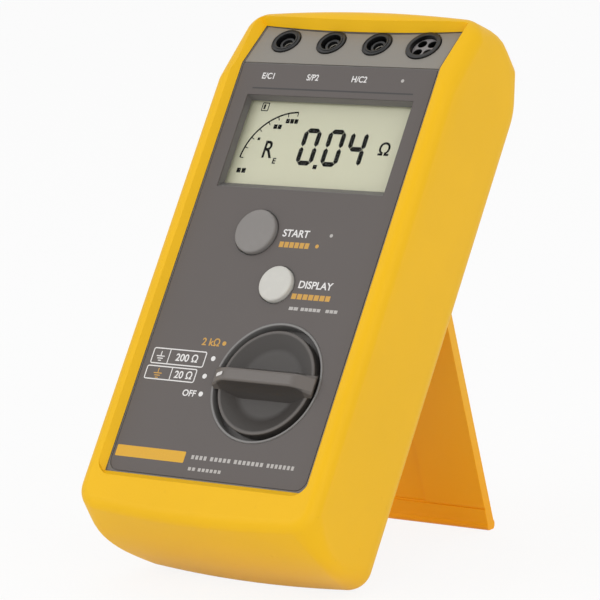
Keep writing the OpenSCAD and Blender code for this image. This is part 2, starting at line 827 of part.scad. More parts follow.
// Rear half of the case with its screw posts, battery bay and door opening
module rear_case() {
    color("dimgray") stood() difference() {
        union() {
            difference() {
                case_form(0);
                case_form(-case_shell);
            }
            intersection() {
                case_form(-case_shell / 2);
                union() {
                    at_case_bosses() post(case_boss_r, -case_t, -case_split);
                    slab(-case_t, bay_roof_z + bay_wall) polygon(rectangle(
                        -bay_half - bay_wall, bay_low - bay_wall, bay_half + bay_wall, bay_high + bay_wall));
                    for (y = [door_low + door_screw_in, door_high - door_screw_in]) translate([0, y, 0])
                        post(door_boss_r, -case_t, case_back_z + door_t + small_screw_grip + bay_wall);
                }
            }
        }
        // Everything before the parting line
        translate([-holster_w, 0, -case_split]) cube([2 * holster_w, holster_l, holster_t]);
        // Battery bay, the seat of its door and the door's screw holes
        slab(-holster_t, bay_roof_z) polygon(rectangle(-bay_half, bay_low, bay_half, bay_high));
        slab(-holster_t, case_back_z + door_t) polygon(rounded(
            rectangle(-door_half, door_low, door_half, door_high),
            [for (i = [0 : 3]) door_margin / 2]));
        for (y = [door_low + door_screw_in, door_high - door_screw_in]) translate([0, y, 0])
            post(small_screw_r + running_gap, -holster_t, case_back_z + door_t + small_screw_grip);
        at_case_bosses() {
            post(case_screw_r + running_gap, -holster_t, cut);
            post(case_head_r + fit_gap, -holster_t, boss_floor_z);
        }
    }
}

// Rubber cord in the groove between the case halves
module case_seal() {
    color("black") stood() wall_ring(-case_shell / 2 - seal_w / 2, -case_shell / 2 + seal_w / 2,
        -case_split, -case_split + seal_h - running_gap);
}

// Printed sheet over the flat face
module face_sheet() {
    color([0.33, 0.32, 0.31]) stood() difference() {
        slab(-sheet_t, 0) face_outline(2 * fit_gap, fold_y - sheet_t / 2);
        slab(-cut, cut) polygon(rectangle(-window_w / 2, window_low, window_w / 2, window_low + window_h));
        at_keys() {
            post(start_r + 2 * key_gap, -cut, cut);
            post(display_r + 2 * key_gap, -cut, cut);
        }
        translate([knob_x, knob_y, 0]) post(well_r + bead_w + fit_gap / 2, -cut, cut);
    }
}

// Light sheet over the socket slope
module socket_sheet() {
    color([0.62, 0.62, 0.61]) stood() on_slope() difference() {
        translate([-face_w / 2 + 2 * fit_gap, sheet_t + fit_gap / 2, -sheet_t])
            cube([face_w - 4 * fit_gap, fold_back - sheet_t, sheet_t]);
        past_slope(2 * fit_gap);
        at_sockets(0, 2) post(socket_r + fit_gap, -cut, cut);
        at_sockets(3, 3) post(accessory_r + fit_gap, -cut, cut);
    }
}

// Clear pane behind the display opening
module display_pane() {
    color("lightcyan") stood() slab(pane_z - pane_t, pane_z) polygon(rectangle(
        -pane_w / 2, pane_low, pane_w / 2, pane_high));
}

// Liquid crystal panel
module crystal_panel() {
    color([0.78, 0.79, 0.68]) stood() slab(crystal_under_z, crystal_z) polygon(rectangle(
        -pane_w / 2, pane_low, pane_w / 2, pane_high));
}

// Frame that carries the panel over the board
module crystal_frame() {
    x = pane_w / 2;
    wall = crystal_frame_wall;
    strip_far = strip_inset + strip_w + frame_gap;
    color("white") stood() difference() {
        slab(-board_drop, crystal_z) polygon(rectangle(
            -x - wall, pane_low - wall, x + wall, pane_high + wall));
        slab(crystal_under_z, 0) polygon(rectangle(
            -x - frame_gap, pane_low - frame_gap, x + frame_gap, pane_high + frame_gap));
        slab(-board_drop - cut, 0) polygon(rectangle(
            -x + wall, pane_low + strip_far + wall, x - wall, pane_high - strip_far - wall));
        for (y = [pane_low + strip_inset, pane_high - strip_inset - strip_w])
            slab(-board_drop - cut, 0) polygon(rectangle(
                -x + wall - frame_gap, y - frame_gap, x - wall + frame_gap, y + strip_w + frame_gap));
    }
}

// Elastomer strips that join the panel to the board
module contact_strips() {
    x = pane_w / 2 - crystal_frame_wall;
    color("black") stood()
        for (y = [pane_low + strip_inset, pane_high - strip_inset - strip_w])
            slab(-board_drop, crystal_under_z) polygon(rectangle(-x, y, x, y + strip_w));
}

// Main circuit board
module main_board() {
    color("darkgreen") stood() difference() {
        slab(board_z, -board_drop) polygon(rounded(
            rectangle(-board_half, board_low, board_half, board_high),
            [for (i = [0 : 3]) board_boss_r]));
        at_board_screws() post(small_screw_r + running_gap, board_z - cut, cut);
        at_case_bosses() post(case_boss_r + fit_gap, board_z - cut, cut);
    }
}

module small_screw(length) {
    post(small_screw_r, -cut / 2, length);
    post(small_head_r, -small_head_h, 0);
}

// Screws that hold the main board to its bosses
module board_screws() {
    color("silver") stood() at_board_screws() translate([0, 0, board_z]) small_screw(small_screw_grip);
}

// Long screws that hold the case halves together
module case_screws() {
    color("silver") stood() at_case_bosses() {
        post(case_screw_r, boss_floor_z - cut / 2, -case_split + case_screw_grip);
        post(case_head_r, boss_floor_z - case_head_h, boss_floor_z);
    }
}

// Body of one key switch, open at the top for its plunger
module key_switch() {
    difference() {
        slab(-board_drop, switch_top_z) square(switch_w, center = true);
        post(plunger_r + running_gap, switch_top_z - switch_bore, cut);
    }
}

module start_switch() {
    color("black") stood() translate([start_x, start_y, 0]) key_switch();
}

module display_switch() {
    color("black") stood() translate([display_x, display_y, 0]) key_switch();
}

// One key: a crowned cap and the flange that holds it behind the face
module key(r) {
    rim = key_crown;
    profile = rounded(
        [[0, key_flange_z], [r + key_flange_w, key_flange_z], [r + key_flange_w, key_stop_z],
            [r, key_stop_z], [r, key_h - rim], [0, key_h]],
        [0, 0, 0, 0, rim, 0]);
    rotate_extrude($fn = round_n) polygon(profile);
}

module start_key() {
    color([0.55, 0.54, 0.53]) stood() translate([start_x, start_y, 0]) key(start_r);
}

module display_key() {
    color([0.85, 0.85, 0.82]) stood() translate([display_x, display_y, 0]) key(display_r);
}

module key_plunger() {
    post(plunger_r, switch_top_z - plunger_dip, plunger_top_z);
}

module start_plunger() {
    color("dimgray") stood() translate([start_x, start_y, 0]) key_plunger();
}

module display_plunger() {
    color("dimgray") stood() translate([display_x, display_y, 0]) key_plunger();
}

// Selector knob: a dished disc with a grip bar across it and a hub below
module selector_knob() {
    dish_z = rim_h - dish_depth;
    disc = rounded(
        [[0, knob_under_z], [knob_r, knob_under_z], [knob_r, rim_h], [knob_r - rim_w, rim_h],
            [knob_r - rim_w - dish_depth * 2, dish_z], [0, dish_z]],
        [0, rim_w / 2, rim_w / 3, rim_w / 3, dish_depth * 2, 0]);
    color([0.3, 0.3, 0.3]) stood() translate([knob_x, knob_y, 0]) difference() {
        union() {
            rotate_extrude($fn = round_n) polygon(disc);
            post(hub_r, hub_end_z, knob_under_z + cut / 2);
            grip_bar(dish_z);
        }
        post(rotor_screw_r + running_gap, hub_end_z - cut, hub_end_z + rotor_screw_l + fit_gap);
    }
}

// Grip bar: hollow-flanked cross-section, trimmed to its sloping ends
module grip_bar(dish_z) {
    low = dish_z - rim_h;
    waist_w = (bar_top_w + bar_root_w) / 2 - (bar_root_w - bar_top_w) / 6;
    mid_z = (bar_h + low) / 2;
    tip_z = bar_h - bar_tip_drop;
    tip_r = bar_top_w / 4;
    intersection() {
        rotate([90, 0, 90]) linear_extrude(2 * bar_reach + 2 * cut, center = true) polygon(rounded(
            [[-bar_root_w / 2, low], [bar_root_w / 2, low], [waist_w / 2, mid_z], [bar_top_w / 2, bar_h],
                [-bar_top_w / 2, bar_h], [-waist_w / 2, mid_z]],
            [0, 0, 0, tip_r, tip_r, 0]));
        end_extrude(2 * bar_root_w) polygon(rounded(
            [[-bar_reach - cut, low - cut], [bar_reach + cut, low - cut], [bar_reach + cut, tip_z],
                [bar_reach, tip_z], [bar_reach - bar_slope_l, bar_h], [bar_slope_l - bar_reach, bar_h],
                [-bar_reach, tip_z], [-bar_reach - cut, tip_z]],
            [0, 0, 0, 0, bar_slope_l, bar_slope_l, 0, 0]));
        post(bar_reach, low - cut, bar_h + cut);
        // Past the disc the bar stays over the mouth of the well
        union() {
            post(knob_r - rim_w, low - cut, bar_h + cut);
            post(bar_reach + cut, bead_h + stop_gap, bar_h + cut);
        }
    }
}

// Detent rotor clipped to the hub, with one notch in its rim for each step
module detent_rotor() {
    color("white") stood() translate([knob_x, knob_y, 0]) difference() {
        post(rotor_r, rotor_under_z, rotor_top_z);
        post(hub_r, rotor_under_z - cut, rotor_top_z + cut);
        for (i = [0 : notch_count - 1])
            rotate([0, 0, i * detent_step]) translate([rotor_r + notch_r - notch_depth, 0, 0])
                post(notch_r, rotor_under_z - cut, rotor_top_z + cut);
    }
}

// Screw whose wide head holds the rotor on the hub
module rotor_screw() {
    color("silver") stood() translate([knob_x, knob_y, 0]) {
        post(rotor_screw_r, hub_end_z - rotor_head_h / 2, hub_end_z + rotor_screw_l);
        post(hub_r + rotor_head_h, hub_end_z - rotor_head_h, hub_end_z);
    }
}

// Leaf contacts under the rotor, over the board's tracks
module wiper_springs() {
    color("gold") stood() translate([knob_x, knob_y, 0]) for (a = [0, 120, 240])
        rotate([0, 0, a]) translate([hub_r + 2 * rotor_head_h, -wiper_w / 2, 0]) {
            translate([0, 0, rotor_under_z - wiper_t]) cube([wiper_l, wiper_w, wiper_t]);
            translate([wiper_l - wiper_t, 0, wiper_drop])
                cube([wiper_t, wiper_w, rotor_under_z - wiper_drop]);
        }
}

// Round cord seal in the well's floor, round the hub
module shaft_seal() {
    reach = hub_r + running_gap + shaft_seal_r;
    color("black") stood() translate([knob_x, knob_y, well_floor_z - shaft_seal_r])
        rotate_extrude($fn = round_n) translate([reach, 0]) circle(shaft_seal_r - running_gap, $fn = rim_n);
}

// Fixed leaf spring whose nose lies in a notch of the rotor's rim
module detent_spring() {
    nose_r = notch_r - running_gap;
    lower = rotor_top_z - detent_spring_w;
    reach = rotor_r + notch_r + stop_gap;
    color("silver") stood() translate([knob_x, knob_y, 0]) rotate([0, 0, 90]) {
        translate([reach, 0, 0]) post(nose_r, lower, rotor_top_z);
        translate([reach + nose_r - detent_spring_t, -rotor_r / 2, lower])
            cube([detent_spring_t, rotor_r, detent_spring_w]);
        for (side = [-1, 1]) translate([reach + nose_r - detent_spring_t / 2, side * rotor_r / 2, 0])
            post(detent_spring_t, -board_drop, rotor_top_z);
    }
}

// Shroud of one test socket
module test_socket() {
    difference() {
        union() {
            post(socket_r, -sheet_t, socket_flange_h);
            post(socket_r - socket_step, -socket_depth, 0);
        }
        post(socket_recess_r, -contact_base, cut);
        post(tail_r + running_gap, -socket_depth - cut, 0);
    }
}

module socket_at(i) {
    stood() on_slope() at_sockets(i, i) children();
}

module left_socket() {
    color("black") socket_at(0) test_socket();
}

module middle_socket() {
    color("black") socket_at(1) test_socket();
}

module right_socket() {
    color("black") socket_at(2) test_socket();
}

// Contact sleeve of one test socket, with its blind bore and solder tail
module test_contact() {
    difference() {
        union() {
            post(contact_r, -contact_base, -contact_sink);
            post(tail_r, -socket_depth - board_t - tail_free, -contact_base + cut / 2);
        }
        post(contact_bore_r, -contact_sink - contact_bore_l, cut);
    }
}

module left_contact() {
    color("goldenrod") socket_at(0) test_contact();
}

module middle_contact() {
    color("goldenrod") socket_at(1) test_contact();
}

module right_contact() {
    color("goldenrod") socket_at(2) test_contact();
}

// Round accessory socket with a cloverleaf of pin holes
module accessory_socket() {
    inner_r = accessory_r - 2 * socket_step;
    color("black") socket_at(3) difference() {
        union() {
            post(accessory_r, -sheet_t, socket_flange_h);
            post(accessory_r - socket_step, -socket_depth, 0);
        }
        post(inner_r - socket_step, -insert_sink, cut);
        for (a = accessory_pin_angles) rotate([0, 0, a]) translate([pin_circle_r, 0, 0]) {
            post(pin_hole_r, -contact_base, cut);
            post(tail_r + running_gap, -socket_depth - cut, 0);
        }
    }
}

// Contacts at the bottom of the accessory socket's pin holes
module accessory_contacts() {
    color("goldenrod") socket_at(3) for (a = accessory_pin_angles)
        rotate([0, 0, a]) translate([pin_circle_r, 0, 0]) {
            post(tail_r, -socket_depth - board_t - tail_free, -contact_base + contact_bore_l / 2);
        }
}

// Board that carries the sockets' solder tails
module socket_board() {
    color("darkgreen") stood() on_slope() difference() {
        translate([-socket_board_w / 2, socket_up - socket_board_h / 2, socket_board_z - board_t])
            cube([socket_board_w, socket_board_h, board_t]);
        at_sockets(0, 2) post(tail_r + running_gap, -socket_depth - board_t - cut, cut);
        at_sockets(3, 3) for (a = accessory_pin_angles) rotate([0, 0, a]) translate([pin_circle_r, 0, 0])
            post(tail_r + running_gap, -socket_depth - board_t - cut, cut);
    }
}

// Ribbon from the main board to the socket board
module ribbon() {
    end_up = socket_up - socket_board_h / 2 + 5 * ribbon_t;
    low = socket_board_z;
    high = socket_board_z + ribbon_t;
    start = board_high - 3 * ribbon_t;
    color("tan") stood() side_extrude(ribbon_w) polygon([
        [start, board_z], [start - ribbon_t, board_z], slope_point(slope_reach(start - ribbon_t, low), low),
        slope_point(end_up, low), slope_point(end_up, high), slope_point(slope_reach(start, high), high)]);
}

// Parts soldered to the back of the main board
module on_board_back(place) {
    stood() translate([place[0], place[1], board_z]) children();
}

module measuring_chip() {
    color("black") on_board_back(chip_place) slab(-chip_h, 0) square(chip_w, center = true);
}

module relays() {
    color("white") for (i = [0 : 2]) on_board_back(relay_place + [i * relay_pitch, 0])
        slab(-relay_h, 0) square([relay_w, relay_l], center = true);
}

module transformer() {
    color("khaki") on_board_back(transformer_place)
        slab(-transformer_h, 0) square(transformer_w, center = true);
}

module buzzer() {
    color("black") on_board_back(buzzer_place) difference() {
        post(buzzer_r, -buzzer_h, 0);
        post(buzzer_r / 6, -buzzer_h - cut, -buzzer_h / 2);
    }
}

// Block battery with its two studs
module battery() {
    mid_z = battery_z + battery_t / 2;
    top = battery_low + battery_l;
    color("slategray") stood() {
        slab(battery_z, battery_z + battery_t) polygon(rectangle(
            -battery_w / 2, battery_low, battery_w / 2, top));
        translate([-stud_pitch / 2, top, mid_z]) rotate([-90, 0, 0]) post(plus_stud_r, -cut / 2, stud_h);
        translate([stud_pitch / 2, top, mid_z]) rotate([-90, 0, 0]) post(minus_stud_r, -cut / 2, stud_h);
    }
}

// Snap plate over the battery's studs
module battery_snap() {
    mid_z = battery_z + battery_t / 2;
    top = battery_low + battery_l;
    color("black") stood() difference() {
        slab(mid_z - minus_stud_r - snap_t, mid_z + minus_stud_r + snap_t) polygon(rectangle(
            -battery_w / 2, top, battery_w / 2, top + stud_h + snap_t));
        translate([-stud_pitch / 2, top, mid_z]) rotate([-90, 0, 0])
            post(plus_stud_r + running_gap, -cut, stud_h + running_gap);
        translate([stud_pitch / 2, top, mid_z]) rotate([-90, 0, 0])
            post(minus_stud_r + running_gap, -cut, stud_h + running_gap);
    }
}

// Door over the battery bay
module battery_door() {
    g = fit_gap / 2;
    color("dimgray") stood() difference() {
        union() {
            slab(case_back_z, case_back_z + door_t) polygon(rounded(
                rectangle(-door_half + g, door_low + g, door_half - g, door_high - g),
                [for (i = [0 : 3]) door_margin / 2]));
            slab(case_back_z, door_inner_z) polygon(rectangle(
                -bay_half + g, bay_low + g, bay_half - g, bay_high - g));
        }
        for (y = [door_low + door_screw_in, door_high - door_screw_in]) translate([0, y, 0]) {
            post(small_screw_r + running_gap, -holster_t, cut);
            post(small_head_r + fit_gap, -holster_t, case_back_z + door_t / 2);
        }
    }
}

// Screws of the battery door
module door_screws() {
    color("silver") stood() for (y = [door_low + door_screw_in, door_high - door_screw_in])
        translate([0, y, case_back_z + door_t / 2]) {
            post(small_screw_r, 0, small_screw_grip);
            post(small_head_r, -door_t / 2, 0);
        }
}

// Tilt stand, opened against its stop
module tilt_stand() {
    half_t = stand_t / 2;
    color("orange") difference() {
        stood() translate([0, pivot_y, pivot_z]) rotate([stand_open, 0, 0]) difference() {
            union() {
                side_extrude(stand_w) polygon(rectangle(-stand_l, -half_t, stop_tail, half_t));
                rotate([0, 90, 0]) cylinder(h = stand_w, r = barrel_r, center = true, $fn = round_n);
                rotate([0, 90, 0])
                    cylinder(h = stand_w + 2 * trunnion_l, r = trunnion_r, center = true, $fn = round_n);
                translate([0, -stand_l, 0]) rotate([0, 90, 0])
                    cylinder(h = stand_w, r = foot_r, center = true, $fn = round_n);
            }
            translate([-channel_w / 2, foot_pad - stand_l, half_t - channel_d])
                cube([channel_w, stand_l - foot_pad - 2 * barrel_r, stand_t]);
            translate([-stand_w, foot_pad - stand_l - groove_w, half_t - groove_d])
                cube([2 * stand_w, groove_w, stand_t]);
        }
        below_floor();
    }
}

holster();
front_case();
rear_case();
case_seal();
face_sheet();
socket_sheet();
display_pane();
crystal_panel();
crystal_frame();
contact_strips();
main_board();
board_screws();
case_screws();
start_switch();
display_switch();
shaft_seal();
detent_spring();
left_socket();
middle_socket();
right_socket();
accessory_socket();
left_contact();
middle_contact();
right_contact();
accessory_contacts();
socket_board();
ribbon();
measuring_chip();
relays();
transformer();
buzzer();
battery();
battery_snap();
battery_door();
door_screws();
selector_knob();
detent_rotor();
rotor_screw();
wiper_springs();
start_key();
start_plunger();
display_key();
display_plunger();
tilt_stand();
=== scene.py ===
"""Visible pieces of a handheld ground resistance tester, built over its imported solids."""
import math

import bmesh
import bpy
from bpy.props import FloatProperty, FloatVectorProperty, PointerProperty
from mathutils import Euler, Matrix, Vector


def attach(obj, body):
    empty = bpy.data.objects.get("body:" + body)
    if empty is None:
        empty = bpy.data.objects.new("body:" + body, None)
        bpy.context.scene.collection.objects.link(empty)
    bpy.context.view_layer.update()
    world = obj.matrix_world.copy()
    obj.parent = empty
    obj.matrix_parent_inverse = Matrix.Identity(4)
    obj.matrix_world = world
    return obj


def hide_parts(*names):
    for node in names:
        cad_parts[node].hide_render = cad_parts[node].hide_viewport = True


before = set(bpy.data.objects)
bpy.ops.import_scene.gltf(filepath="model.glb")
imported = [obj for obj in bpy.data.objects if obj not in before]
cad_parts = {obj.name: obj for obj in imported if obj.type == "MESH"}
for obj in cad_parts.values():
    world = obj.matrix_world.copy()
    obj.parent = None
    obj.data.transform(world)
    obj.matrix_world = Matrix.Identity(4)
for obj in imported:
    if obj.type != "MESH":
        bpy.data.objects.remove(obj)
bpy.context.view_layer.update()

bl_info = {
    "name": "Ground Resistance Tester",
    "version": (1, 0, 0),
    "blender": (4, 5, 0),
    "location": "View3D > Sidebar > Tester",
    "description": "Dresses a ground resistance tester: holster, stand, face, selector, keys and sockets",
    "category": "Object",
}

# Lengths are millimetres in the tester's own axes, and are those of the solids:
# x across the face, y up the face from the heel, z out of the face.
MM = 0.001
HOLSTER_W, HOLSTER_L, HOLSTER_T = 110, 222, 51
LIP_H, LIP_DRAFT, BULGE_R = 3, 2.6, 424
SIDE_TAPER, NOSE_SETBACK, END_CROWN = 2.5, 4.4, 1.8
CORNER_R, FRONT_EDGE_R, TOP_CORNER_R, TOP_EDGE_R = 10, 5, 10, 7
REAR_EDGE_R, TOP_BACK_R, TOP_BACK_DROP = 9, 25, 1
HEEL_BULGE, HEEL_FLAT = 11, 0.4
# The lower end swells between the front and the heel, and the back has a shoulder under its top.
BELLY_STEPS, BELLY_END_Z, BELLY_FULL, BELLY_CURVE, BELLY_EASE = 12, -38, 0.45, 2, 2
BELLY_R_LESS, BELLY_CROWN_LESS = 5, 1.2
CREST_R_LESS, CREST_CROWN_LESS = 4.4, 1.1
SHOULDER_R, SHOULDER_AT = 7, (213.2, -36.5)
BEND_Y, BEND_ANGLE = 191, math.radians(13)
FACE_HALF, FACE_LOW, FACE_CORNER_R = 46, 22.7, 5
FOLD_Y, SLOPE, SLOPE_RUN = 194.6, math.radians(20), 17.7
SLOPE_LEN, SLOPE_DROP = SLOPE_RUN / math.cos(SLOPE), SLOPE_RUN * math.tan(SLOPE)
FACE_TOP, SHEET_T, GAP = FOLD_Y + SLOPE_RUN, 0.5, 0.3
# The lip's opening seen from its end: it widens towards the front, and is cut well past the lip.
OPENING_H = 4 * LIP_H
OPENING_HALF = FACE_HALF + LIP_DRAFT * OPENING_H / LIP_H
OPENING_END = [(-FACE_HALF, 0), (FACE_HALF, 0), (OPENING_HALF, OPENING_H), (-OPENING_HALF, OPENING_H)]
CASE_HALF, CASE_LOW, CASE_TOP, CASE_DEPTH = 50.1, 9.6, 217, 42.9
CASE_CORNER_R, CASE_TOP_R, CASE_EDGE_R = 8, 18, 4
STAND_HALF, STAND_L, STAND_T, STAND_OPEN = 36.8, 113.2, 4.2, math.radians(49.5)
PIVOT_Y, PIVOT_Z, BARREL_R, FOOT_R, FOOT_FLAT = 137, -48.1, 2.5, 2.5, 0.5
TRUNNION_R, TRUNNION_L, STOP_TAIL = 1.8, 3.2, 1.626
RECESS_FLOOR_Z, RECESS_LOW, RECESS_HIGH, RECESS_HALF = -45.2, 20.4, 140.4, 37.4
SCOOP_R, SCOOP_W, SCOOP_Z = 6.4, 24, -52.4
CHANNEL_W, CHANNEL_D, FOOT_PAD, GROOVE_W, GROOVE_D = 18, 0.7, 8.5, 0.9, 0.4
WINDOW_HALF, WINDOW_LOW, WINDOW_HIGH = 38.9, 141.7, 181.2
CRYSTAL_Z = -4.9
START_AT, START_R = (-12.788, 123.4), 9
DISPLAY_AT, DISPLAY_R = (4.232, 102.8), 7.2
KEY_H, KEY_STOP_Z, KEY_FLANGE_Z, KEY_FLANGE_W = 2.4, -2.9, -4, 1.2
KEY_SOFT, KEY_CROWN, KEY_RIM_DROP, KEY_TOP_DROP = 0.9, 0.5, 0.45, 0.1
KNOB_AT, KNOB_R, RIM_W, RIM_H, DISH_Z, KNOB_UNDER_Z = (13.8, 63.5), 21, 1.4, 0.6, -2.4, -4.7
WELL_R, WELL_FLOOR_Z, HUB_R, HUB_END_Z = 23.6, -5, 5, -9.3
BAR_H, BAR_REACH, BAR_TIP_Z, BAR_SLOPE_L = 6.6, 23.1, 2.2, 7
BAR_TOP_HALF, BAR_ROOT_HALF, BAR_LOW, BAR_END_LOW, BAR_FLARE, BAR_SOFT = 2.6, 6.5, -3, 0.6, 1.55, 1.2
BAR_BEND_SOFT, BAR_END_SHRINK, TIP_BACK, TIP_OVER, TIP_MARK_BACK = 2.0, 0.35, 4.6, 0.02, 1.2
DISH_R, WELL_RIM_W, TRUNNION_PLAY, POINTER = 6, 0.75, 0.05, (-1.6, -0.75, 4.0, 0.75, 0.7)
SOCKETS_X, SOCKET_UP = (-32.25, -10.75, 10.75), 12.7
SOCKET_R, RECESS_R, FLANGE_H, SOCKET_DEPTH = 6.1, 4.1, 0.7, 23.5
ACCESSORY_X, ACCESSORY_R, INSERT_R, INSERT_Z = 32.25, 7.2, 5.4, -1.2
PIN_HOLE_R, PIN_CIRCLE_R = 1.7, 3.5
CONTACT_R, BORE_R, CONTACT_Z, BORE_END_Z, CONTACT_BASE_Z = 3, 2, -2.5, -19.5, -21
CONTACT_CHAMFER, CONTACT_EDGE, TAIL_R, TAIL_END_Z = 0.35, 0.2, 0.8, -26.3
SHROUD_WALL, SHROUD_GROOVE_Z, SHROUD_HOLE_R, COLLAR_Z, COLLAR_LIP = 0.6, 0.48, 0.85, -1.1, 0.15
PIN_TURNS, MOUTH_R, MOUTH_CIRCLE_R, MOUTH_DEPTH, MOUTH_FOOT_R = (45, 135, 225, 315), 2.05, 3.25, 1.2, 1.5

# How finely the holster's corners and ends are laid out.
CORNER_STEPS, RIM_STEPS, STATIONS = 72, 16, [i / 10 for i in range(-9, 10)]

# The display: its figures, its curved scale, and the marks on it. A figure's segments run between corners
# that are counted by column and row.
FIGURES = (("0", -9.9), ("0", 1.6), ("4", 12.1))
FIGURE_Y, FIGURE_W, FIGURE_H, FIGURE_STROKE = 154.5, 8.1, 15.7, 2.0
SEGMENTS = {"a": (0, 2, 1, 2), "b": (1, 1, 1, 2), "c": (1, 0, 1, 1), "d": (0, 0, 1, 0), "e": (0, 0, 0, 1),
            "f": (0, 1, 0, 2), "g": (0, 1, 1, 1)}
SEGMENTS_OF, SEGMENT_ROOM = {"0": "abcdef", "4": "bcfg"}, 0.12
SCALE_AT, SCALE_R, SCALE_LINE, SCALE_FIRST, SCALE_LAST = (-15, 155), 21.6, 0.7, 176, 92
TICK_STEP, TICK_L, TICK_LINE = 12, 1.7, 0.4

# The marks, as tables. Words: text, middle, foot, height, width as a share, and how much heavier than plain.
# Dots: middle and radius. Bars: two corners and the corners' radius. Rows of blocks: two corners, how many
# blocks and the gap between them. Boxes, drawn in outline: two corners, the line and the corners' radius.
PRINT_SINK, CAPITAL_SHARE = 0.02, 0.72
SHOWN = {
    "words": (("Ω", 29.1, 160.5, 5.2, 1, 0.3), ("R", -24.5, 156.9, 7.4, 0.8, 0.3),
              ("E", -20.0, 154.6, 2.4, 1, 0.2)),
    "bars": ((-1.0, 153.2, 0.8, 155.0, 0), (-31.0, 164.1, -29.8, 165.2, 0), (-33.1, 177.4, -32.2, 179.4, 0)),
    "rows": ((-25.4, 169.2, -21.6, 171.1, 2, 0.3), (-20.4, 171.8, -14.7, 173.7, 3, 0.3),
             (-36.0, 150.0, -31.8, 152.0, 2, 0.5)),
    "boxes": ((-34.0, 176.5, -30.6, 180.2, 0.6, 0.5),),
}
PRINTED = {
    "white": {
        "words": (("E/C1", -31.6, 188.1, 2.6, 0.9, 0.12), ("S/P2", -10.6, 188.1, 2.6, 0.9, 0.12),
                  ("H/C2", 11.2, 188.1, 2.6, 0.9, 0.12), ("START", 5.3, 122.7, 3, 1, 0.16),
                  ("DISPLAY", 21.6, 102.3, 3, 1, 0.16), ("200 Ω", -25.9, 68.9, 3, 1, 0.16),
                  ("20 Ω", -25.0, 62.0, 3, 1, 0.16), ("OFF", -19.6, 55.3, 2.6, 1, 0.14)),
        "dots": ((-13.8, 71.1, 1.0), (-15.1, 63.8, 1.0), (-14.2, 56.6, 1.0)),
        "bars": ((-34.7, 67.2, -34.3, 73.4, 0), (-31.2, 60.8, -30.8, 66.1, 0)),
        "boxes": ((-42.5, 67.0, -17.3, 73.6, 0.45, 0.9), (-43.1, 60.6, -19.2, 66.3, 0.45, 0.9)),
    },
    "orange": {
        "words": (("2 kΩ", -17.2, 76.2, 3, 1, 0.16),),
        "dots": ((16.6, 119.5, 0.8), (-11.0, 77.5, 0.9)),
        "rows": ((-0.8, 118.2, 12.9, 120.5, 6, 0.45), (12.4, 97.7, 30.0, 99.9, 7, 0.45)),
    },
    "yellow": {"bars": ((-44.4, 28.9, -12.0, 33.4, 0.4),)},
    "faint": {
        "dots": ((31.1, 189.4, 0.7), (21.5, 124.2, 0.7)),
        "rows": ((13.0, 93.2, 17.1, 94.5, 2, 0.35), (18.4, 93.2, 27.3, 94.5, 5, 0.35),
                 (29.8, 93.2, 35.1, 94.5, 3, 0.35), (-9.0, 30.8, -2.0, 32.4, 4, 0.7),
                 (-0.2, 30.8, 9.0, 32.4, 5, 0.7), (10.8, 30.8, 24.0, 32.4, 7, 0.7),
                 (25.8, 30.8, 38.0, 32.4, 7, 0.7),
                 (-8.8, 26.3, -5.6, 27.6, 2, 0.6), (-4.2, 26.3, 6.3, 27.6, 6, 0.6)),
    },
    "dark": {"bars": ((1.4 - WINDOW_HALF, WINDOW_HIGH + 2.5, WINDOW_HALF - 1.2, WINDOW_HIGH + 3.1, 0),)},
}
EARTH_SIGNS = (("white", -38.4, 70.4), ("orange", -37.2, 63.5))
EARTH_BARS, EARTH_PITCH, EARTH_LINE, EARTH_STEM = (1.9, 1.3, 0.7), 0.9, 0.4, 1.8

# The camera in the tester's own millimetres, and soft studio light: each lamp's place and size in metres and
# its power in watts, the even light of the sky, and how white the floor looks beyond what the lamps give it.
CAMERA_AT, CAMERA_TURN = (850.088, -329.956, 1066.269), (0.505405, 0.538118, 0.349714)
CAMERA_LENS, CAMERA_SENSOR, CAMERA_CLIP = 229.409, 36, (0.05, 50)
LAMPS = (("key", (-1.1, -1.6, 1.3), 1.5, 9.5), ("fill", (1.9, -1.2, 0.6), 1.8, 13),
         ("top", (0.1, 0.4, 2.4), 2.0, 4))
LAMPS_AIM, SKY_LIGHT, FLOOR_WHITE, FLOOR_HALF = (0, 0, 0.1), 0.66, 0.88, 6


def run_back(y, z, lean):
    """How far back a point of the tester lies once it leans."""
    return y * math.sin(lean) - z * math.cos(lean)


def standing():
    """The matrix from the tester's own millimetres to the frame: it rests on its heel and its stand's foot."""
    heel_y, heel_z = REAR_EDGE_R, REAR_EDGE_R - HOLSTER_T
    foot_y = PIVOT_Y - STAND_L * math.cos(STAND_OPEN)
    foot_z = PIVOT_Z - STAND_L * math.sin(STAND_OPEN)
    heel_rest, foot_rest = REAR_EDGE_R - HEEL_FLAT, FOOT_R - FOOT_FLAT
    reach = math.hypot(foot_y - heel_y, foot_z - heel_z)
    lean = math.atan2(foot_y - heel_y, heel_z - foot_z) + math.asin((heel_rest - foot_rest) / reach)
    drop = heel_y * math.cos(lean) + heel_z * math.sin(lean) - heel_rest
    front = run_back(NOSE_SETBACK + FRONT_EDGE_R, LIP_H - FRONT_EDGE_R, lean) - FRONT_EDGE_R
    stand_back = run_back(foot_y, foot_z, lean) + FOOT_R
    top_back = run_back(HOLSTER_L - TOP_BACK_R, -TOP_BACK_R - TOP_BACK_DROP, lean) + TOP_BACK_R
    middle = (front + max(stand_back, top_back)) / 2
    return (Matrix.Scale(MM, 4) @ Matrix.Translation((0, -middle, -drop))
            @ Matrix.Rotation(math.radians(90) - lean, 4, "X"))


